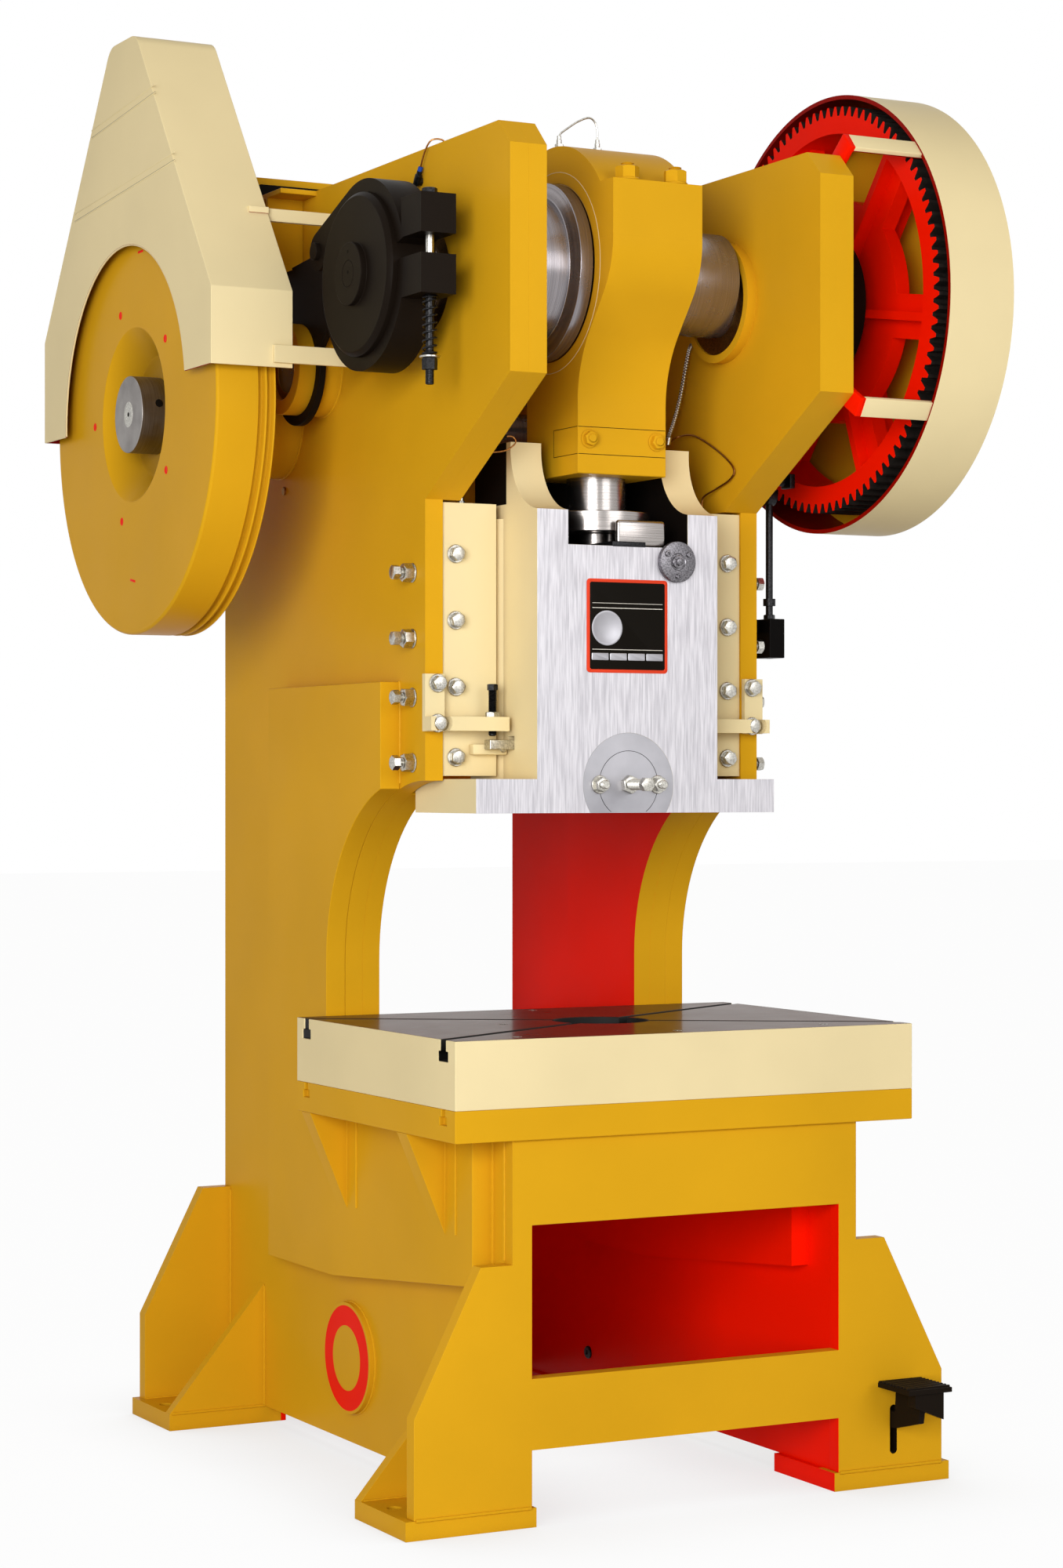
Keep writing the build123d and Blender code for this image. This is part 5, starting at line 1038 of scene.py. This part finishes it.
class PRESS_OT_grease_pipes(bpy.types.Operator):
    """Bent grease pipes of the gibs, the rod and the crank bush, with their fittings"""

    bl_idname = "press.grease_pipes"
    bl_label = "Grease pipes"

    def execute(self, context):
        fittings, pipes = bmesh.new(), bmesh.new()
        for place, way in (((282, -209, 2142), LEFT), ((262, -255, 1807), UP),
                           ((-255, -255, 1807), UP), ((-282, -388, 1893), RIGHT),
                           ((-282, -246, 1884), RIGHT)):
            at = stand(place, way, 10)
            hexagon(fittings, at, 12, 8)
            turned(fittings, at, (4.6, 8), (4.6, 14), (3, 15))
        turned(fittings, stand((214, -209, 1950), (0.2, 0, 1)), (5, -6), (6, -5), (6, 9),
               (5, 10))
        pipe(pipes, 1.9, (214, -209, 1952), (216, -200, 1944), (232, -184, 1952),
             (258, -172, 1966), (275, -205, 1966), (277, -287, 1931), (277, -347, 1893),
             (277, -338, 1872), (273, -290, 1856), (264, -258, 1842), (262, -255, 1820))
        pipe(pipes, 1.5, (-236, -400, 1922), (-224, -404, 1921), (-220, -406, 1910),
             (-236, -402, 1897), (-256, -394, 1893), (-268, -388, 1893))
        pipe(pipes, 1.9, (-255, -255, 1820), (-255, -255, 1850), (-256, -252, 1874),
             (-262, -247, 1883), (-268, -246, 1884))
        piece("gib_grease_fittings", fittings, "zinc", "frame", "plated_steel")
        piece("gib_grease_pipes", pipes, "copper", "frame", "bronze")
        guard = bmesh.new()
        core = smooth_line([(268, -209, 2142), (262, -209, 2132), (254, -209, 2098),
                            (246, -209, 2058), (237, -209, 2021), (226, -209, 1987),
                            (215, -209, 1960)], per_span=14)
        tube(guard, core, lambda i: 4.6 if i % 2 else 3.6, count=10)
        piece("crank_grease_hose_guard", guard, "zinc", "frame", "plated_steel")
        stub = bmesh.new()
        turned(stub, stand((-282, -400, 1922), RIGHT), (12, 0), (12, 6), (9, 8), (9, 38),
               (8, 40), (5, 40), (4, 46))
        piece("gib_grease_block", stub, "black", "frame", "black_paint")
        top = bmesh.new()
        for x in (3, -78):
            at = stand((x, CRANK[0], 2473), UP, 20)
            hexagon(top, at, 15, 9)
            turned(top, at, (5, 9), (5, 17), (4, 18), (4, 24), (2.6, 25), count=24)
        bow = ((3, 2497), (3, 2514), (-2, 2530), (-15, 2537), (-38, 2528), (-62, 2512),
               (-75, 2502), (-78, 2494))
        pipe(top, 1.9, *((x, CRANK[0], z) for x, z in bow))
        piece("rod_grease_pipe", top, "zinc", "rod", "plated_steel")
        return {"FINISHED"}


class PRESS_OT_welds(bpy.types.Operator):
    """Painted fillet welds where the frame's plates meet"""

    bl_idname = "press.welds"
    bl_label = "Welds"

    def execute(self, context):
        details = context.scene.press_details
        beads = bmesh.new()
        bead = partial(weld, beads, leg=details.weld_leg / MM,
                       ripple=details.weld_ripple / MM)
        for side in SIDES:
            plate, doubler = side * PLATE_X, side * (PLATE_X + 40)
            gusset, foot = side * 554, side * 540
            bead((plate, -200, 1292), (plate, -200, 1480), (plate, 326, 1480),
                 (plate, 326, 355), (plate, 16, 355), (plate, -578, 412),
                 (plate, -578, BED_Z))
            bead((doubler, -578, BED_Z), (doubler, 9, BED_Z))
            for y in (-94, -513):
                bead((side * 464, y, BED_Z), (doubler, y, BED_Z), (doubler, y, 496))
            for front, rear in ((-624, -448), (440, 616)):
                bead((plate, front, FOOT_Z), (plate, rear, FOOT_Z))
            for x, y, top in ((gusset, -470, 268), (gusset, 438, 277), (foot, -624, 452),
                              (foot, 616, 452)):
                bead((x, y, FOOT_Z), (plate, y, FOOT_Z), (plate, y, top))
            bead((foot, -655, FOOT_Z), (side * 318, -655, FOOT_Z))
            bead((plate, -624, 462), (plate, -624, BED_Z))
            for axis, radius in ((WHEEL, 112), (PINION, 88)):
                bead(*((plate, *p) for p in arc(axis, radius, 0, 354)), looped=True)
        bead(*((-PLATE_X, *p) for p in arc(BADGE, 106, 0, 354)), looped=True)
        bead((-350, -654, BED_Z), (350, -654, BED_Z))
        piece("frame_welds", beads, "mustard", "frame", "mustard_paint")
        return {"FINISHED"}


class PRESS_OT_belt_guard_details(bpy.types.Operator):
    """Lap seams on the belt guard's face with painted shade lines under them, a hem round its
    opening and screws on its straps
    """

    bl_idname = "press.belt_guard_details"
    bl_label = "Belt guard details"

    def execute(self, context):
        shape, lap_shades = bmesh.new(), bmesh.new()
        for low_y, high_y, low_z, high_z in ((181, 528, 2617.5, 2589.5), (80, 628, 2471, 2437)):
            rise = math.atan2(high_z - low_z, high_y - low_y)
            half = 0.5 * (high_y - low_y) / math.cos(rise)
            at = Matrix.Translation((0, (low_y + high_y) / 2, (low_z + high_z) / 2))
            at = at @ Matrix.Rotation(rise, 4, "X")
            for drop in (-8, 8):
                slab(shape, (-690.7, -689), (-half, half), (drop - 1.3, drop + 1.3), edge=0.5,
                     at=at)
            # Painted shade: a brown line just under each lap
            slab(lap_shades, (-690.3, -689), (-half, half), (-6.7, -5.5), edge=0.3, at=at)
        hem = [Vector((-688, *p)) for p in arc(WHEEL, 328, -2.4, 171.2, 120)]
        tube(shape, hem, 2, count=8)
        piece("belt_guard_seams", shape, "cream", "frame", "cream_paint")
        piece("belt_guard_lap_shade_lines", lap_shades, "lap_shade", "frame", "cream_paint")
        screws = bmesh.new()
        for y, z in ((-96, 2086), (-80, 2086)):
            at = stand((-362, y, z), LEFT, 12)
            washer(screws, at, 9, 5, 1.6)
            hexagon(screws, at, 13, 6, foot=1.6)
        piece("belt_guard_strap_screws", screws, "zinc", "frame", "plated_steel")
        return {"FINISHED"}


class PRESS_OT_flywheel(bpy.types.Operator):
    """Turned flywheel with red holes and balance marks, and the details of its collar"""

    bl_idname = "press.flywheel"
    bl_label = "Flywheel"

    def execute(self, context):
        wheel, back, width, rim, root = bmesh.new(), -549, 119, 430, 419
        profile = [(45, 68), (118, 68), (170, width), (rim - 4, width), (rim, width - 4)]
        for groove in (21, 3):
            profile += [(rim, groove + 14), (root, groove + 11), (root, groove + 3),
                        (rim, groove)]
        profile += [(rim, 0), (345, 0), (337, 31), (118, 31), (108, 0), (73, 0),
                    (67, -width), (45, -width)]
        turned(wheel, stand((back, *WHEEL), LEFT), *profile, looped=True, count=144)
        made = piece("flywheel_turned", wheel, "flywheel", "flywheel_body", "mustard_paint",
                     "flywheel")
        round_edges(made, context.scene.press_details.edge)
        marks, face = bmesh.new(), back - width
        for spot in arc(WHEEL, 214, -1, 287, 4):
            turned(marks, stand((face + 0.4, *spot), LEFT), (8, 0), (8, 0.7), (7.2, 1),
                   (6, 0.6), (2, 0.6), count=24)
        for tilt, y, z in ((0, 315, 2327), (10, 357, 1689)):
            at = Matrix.Translation((0, y, z)) @ Matrix.Rotation(math.radians(tilt), 4, "X")
            slab(marks, (face - 0.5, face + 1), (-14, 14), (-2.4, 2.4), edge=0.6, at=at)
        piece("flywheel_red_marks", marks, "red", "flywheel_body", "red_paint")
        end, shaft_end = bmesh.new(), stand((-677.6, *WHEEL), LEFT)
        turned(end, shaft_end, (25, 0), (25, 0.5), (24, 1), (12, 1), (10.5, 0.5), (4, 0.5),
               count=48)
        piece("shaft_end_ring", end, "zinc", "flywheel_body", "plated_steel")
        holes = bmesh.new()
        pin(holes, shaft_end, 4.4, 0, 0.7)
        way = Vector((0, -0.975, 0.224))
        turned(holes, stand(Vector((-642, *WHEEL)) + 74 * way, way), (8, 0), (8, 1.2),
               (7, 1.5), count=24)
        piece("collar_screw_holes", holes, "gap", "flywheel_body", "black_steel")
        return {"FINISHED"}


class PRESS_OT_gear_guard(bpy.types.Operator):
    """Rolled gear guard with its lobe round the pinion, its cover and its three stays"""

    bl_idname = "press.gear_guard"
    bl_label = "Gear guard"

    def outline(self, big, big_r, small, small_r):
        """Outline in (y, z) of a belt laid round two discs."""
        away = Vector(small) - Vector(big)
        lean = math.degrees(math.atan2(away.y, away.x))
        leave = math.degrees(math.acos((big_r - small_r) / away.length))
        return (arc(big, big_r, lean + leave, lean + 360 - leave, 140)
                + arc(small, small_r, lean - leave, lean + leave, 36))

    def execute(self, context):
        centre, lobe, edge_x = (-303, 2202), (PINION[0], 2088), 513
        inner = self.outline(centre, 415, lobe, 104)
        outer = self.outline(centre, 423, lobe, 112)
        shape = bmesh.new()
        sheet(shape, (650, inner), (edge_x, inner), (edge_x, outer), (655, outer))
        for angle in (139.4, 212, 4):
            at = Matrix.Translation((0, *centre)) @ Matrix.Rotation(math.radians(angle), 4, "X")
            slab(shape, (354.2, 366), (364, 419.5), (-18.5, 18.5), edge=1.5, at=at)
            slab(shape, (362, edge_x + 16), (408, 419.5), (-18.5, 18.5), edge=1.5, at=at)
        piece("gear_guard_rolled", shape, "gear_guard", "frame", "cream_paint", "gear_guard")
        return {"FINISHED"}


class PRESS_OT_table_holes(bpy.types.Operator):
    """Tapped holes in the bolster's top, as dark pits with a bright chamfer"""

    bl_idname = "press.table_holes"
    bl_label = "Table holes"

    def execute(self, context):
        pits, rims = bmesh.new(), bmesh.new()
        for x, y in ((-212, -339), (-326, -618), (-4, -619), (312, -608), (14, -29)):
            at = stand((x, y, 849.6), UP)
            pin(pits, at, 6, 0, 0.5)
            washer(rims, at, 8.5, 6, 0.7)
        piece("table_hole_pits", pits, "gap", "frame", "black_steel")
        piece("table_hole_rims", rims, "zinc", "frame", "plated_steel")
        return {"FINISHED"}


class PRESS_OT_small_fittings(bpy.types.Operator):
    """Plugs, trip shaft and nut, and black strips that paint the shade in the gap under the motor
    base
    """

    bl_idname = "press.small_fittings"
    bl_label = "Small fittings"

    def execute(self, context):
        black = bmesh.new()
        turned(black, stand((318, 300, 109), LEFT), (13, 0), (13, 3), (11, 5), (5, 5), (4, 2))
        at = stand((PLATE_X, -238, 1882), RIGHT)
        turned(black, at, (16, 0), (16, 8), (9, 10), (9, 112), (8, 113))
        slab(black, (458, 470), (-262, -228), (1868, 1896), edge=2)
        piece("black_fittings", black, "blackened", "frame", "black_steel")
        brass = bmesh.new()
        turned(brass, at, (6, 112), (6, 126), (4.6, 128))
        turned(brass, stand((-PLATE_X, 335, 1875), LEFT), (8, 0), (8, 3), (7, 4), (3, 4))
        piece("brass_pins", brass, "bronze", "frame", "bronze")
        nut = bmesh.new()
        hexagon(nut, stand((424, -240, 1612), UP, 14), 20, 9)
        piece("trip_rod_nut", nut, "blackened", "frame", "black_steel")
        # Painted shade: black strips fill the gap under the motor base, where only shade shows
        shade_strips = bmesh.new()
        slab(shade_strips, (-428, 352), (284, 319), (2451, 2473.8), edge=1.5)
        slab(shade_strips, (-428, -412), (321, 640), (2450, 2474), edge=1.5)
        piece("motor_base_gap_shade", shade_strips, "gap_shade_black", "frame", "black_paint")
        return {"FINISHED"}


class PRESS_OT_rear_panel(bpy.types.Operator):
    """Rear panel between the side plates, its top edge 50 mm below the table's top"""

    bl_idname = "press.rear_panel"
    bl_label = "Rear panel"

    def execute(self, context):
        panel = bmesh.new()
        slab(panel, (-318, 318), (616, 646), (34.2, 800), edge=1.6)
        piece("rear_panel_cut", panel, "frame", "frame", "mustard_paint", "rear_panel")
        return {"FINISHED"}


class PRESS_OT_stage(bpy.types.Operator):
    """Adds the pale floor, the soft lamps, the white background and the camera"""

    bl_idname = "press.stage"
    bl_label = "Stage"

    def lamp(self, name, power, size, place):
        """Soft rectangular lamp that points at the middle of the press."""
        data = bpy.data.lights.new(name, "AREA")
        data.shape = "RECTANGLE"
        data.size, data.size_y = size
        data.energy = power
        lamp = add_object(name, data)
        lamp.location = place
        way = Vector((0, 0, 1.2)) - Vector(place)
        lamp.rotation_euler = way.to_track_quat("-Z", "Y").to_euler()

    def seen(self, add):
        """Output that is 1 for what the camera, a mirror or glass shows, and 0 for light."""
        ray = add("LightPath", out="Is Camera Ray")
        return either(add, ray, ray.node.outputs["Is Glossy Ray"],
                      ray.node.outputs["Is Transmission Ray"])

    def floor(self, colour):
        """Wide matt floor that shows as white, with a soft contact shadow under the feet."""
        mesh, reach = bpy.data.meshes.new("floor"), 40
        mesh.from_pydata([(-reach, -reach, 0), (reach, -reach, 0), (reach, reach, 0),
                          (-reach, reach, 0)], [], [(0, 1, 2, 3)])
        add_object("floor", mesh)
        material, add = new_material("studio_floor")
        matt = add("BsdfDiffuse", {"Color": rgba(colour)})
        white = add("Emission", {"Color": rgba(linear_rgb("FFFFFF"))})
        corner = add("AmbientOcclusion", {"Distance": 0.45}, out="AO", samples=12)
        bright = add("MapRange", {0: corner, 1: 0.4, 2: 0.95, 3: 0.72, 4: 0.97})
        share = add("Math", {0: self.seen(add), 1: bright}, operation="MULTIPLY")
        add("OutputMaterial", {0: add("MixShader", {0: share, 1: matt, 2: white})})
        mesh.materials.append(material)

    def execute(self, context):
        studio = context.scene.press_studio
        self.floor(studio.floor)

        world = bpy.data.worlds.new("studio")
        context.scene.world = world
        world.use_nodes = True
        world.node_tree.nodes.clear()
        add = partial(node, world)
        light = add("Background", {"Color": rgba(studio.warmth), "Strength": studio.ambient})
        backdrop = add("Background", {"Color": rgba(linear_rgb("FFFFFF")), "Strength": 1.0})
        add("OutputWorld", {0: add("MixShader", {0: self.seen(add), 1: light, 2: backdrop})})

        self.lamp("key_lamp", studio.key, (4.0, 3.6), (-5.6, -6.4, 2.2))
        self.lamp("fill_lamp", studio.fill, (4.0, 3.0), (1.6, -7.6, 3.4))

        # The place, the direction and the lens were solved from straight edges in the photo
        data = bpy.data.cameras.new("camera")
        data.lens = studio.lens
        data.sensor_width = 36
        data.clip_end = 200
        camera = add_object("camera", data)
        camera.location = (-2.982, -5.732, 1.291)
        camera.rotation_euler = (math.radians(90), 0, math.radians(-27.69))
        context.scene.camera = camera
        context.scene.view_settings.view_transform = "Standard"
        return {"FINISHED"}


OPERATORS = (PRESS_OT_paint_solids,
             PRESS_OT_gib_bolts,
             PRESS_OT_adjusting_screws,
             PRESS_OT_knockout_screws,
             PRESS_OT_connecting_rod,
             PRESS_OT_rod_fasteners,
             PRESS_OT_shank_clamp_fasteners,
             PRESS_OT_adjuster_cap,
             PRESS_OT_nameplate,
             PRESS_OT_brake_details,
             PRESS_OT_grease_pipes,
             PRESS_OT_welds,
             PRESS_OT_belt_guard_details,
             PRESS_OT_flywheel,
             PRESS_OT_gear_guard,
             PRESS_OT_table_holes,
             PRESS_OT_small_fittings,
             PRESS_OT_rear_panel,
             PRESS_OT_stage)
SETTINGS = (("press_paint", PressPaintSettings), ("press_details", PressDetailSettings),
            ("press_studio", PressStudioSettings))


class PRESS_PT_panel(bpy.types.Panel):
    """Lists the press's settings and operators"""

    bl_idname = "PRESS_PT_panel"
    bl_label = "Stamping press"
    bl_space_type = "VIEW_3D"
    bl_region_type = "UI"
    bl_category = "Press"

    def draw(self, context):
        for name, group in SETTINGS:
            box = self.layout.box()
            box.label(text=group.__doc__)
            for prop in group.__annotations__:
                box.prop(getattr(context.scene, name), prop)
        for operator in OPERATORS:
            self.layout.operator(operator.bl_idname)


def register():
    for name, group in SETTINGS:
        bpy.utils.register_class(group)
        setattr(bpy.types.Scene, name, PointerProperty(type=group))
    for cls in (*OPERATORS, PRESS_PT_panel):
        bpy.utils.register_class(cls)


def unregister():
    for cls in (PRESS_PT_panel, *reversed(OPERATORS)):
        bpy.utils.unregister_class(cls)
    for name, group in reversed(SETTINGS):
        delattr(bpy.types.Scene, name)
        bpy.utils.unregister_class(group)


def main():
    register()
    for operator in OPERATORS:
        group, name = operator.bl_idname.split(".")
        getattr(getattr(bpy.ops, group), name)()


if __name__ == "__main__":
    main()
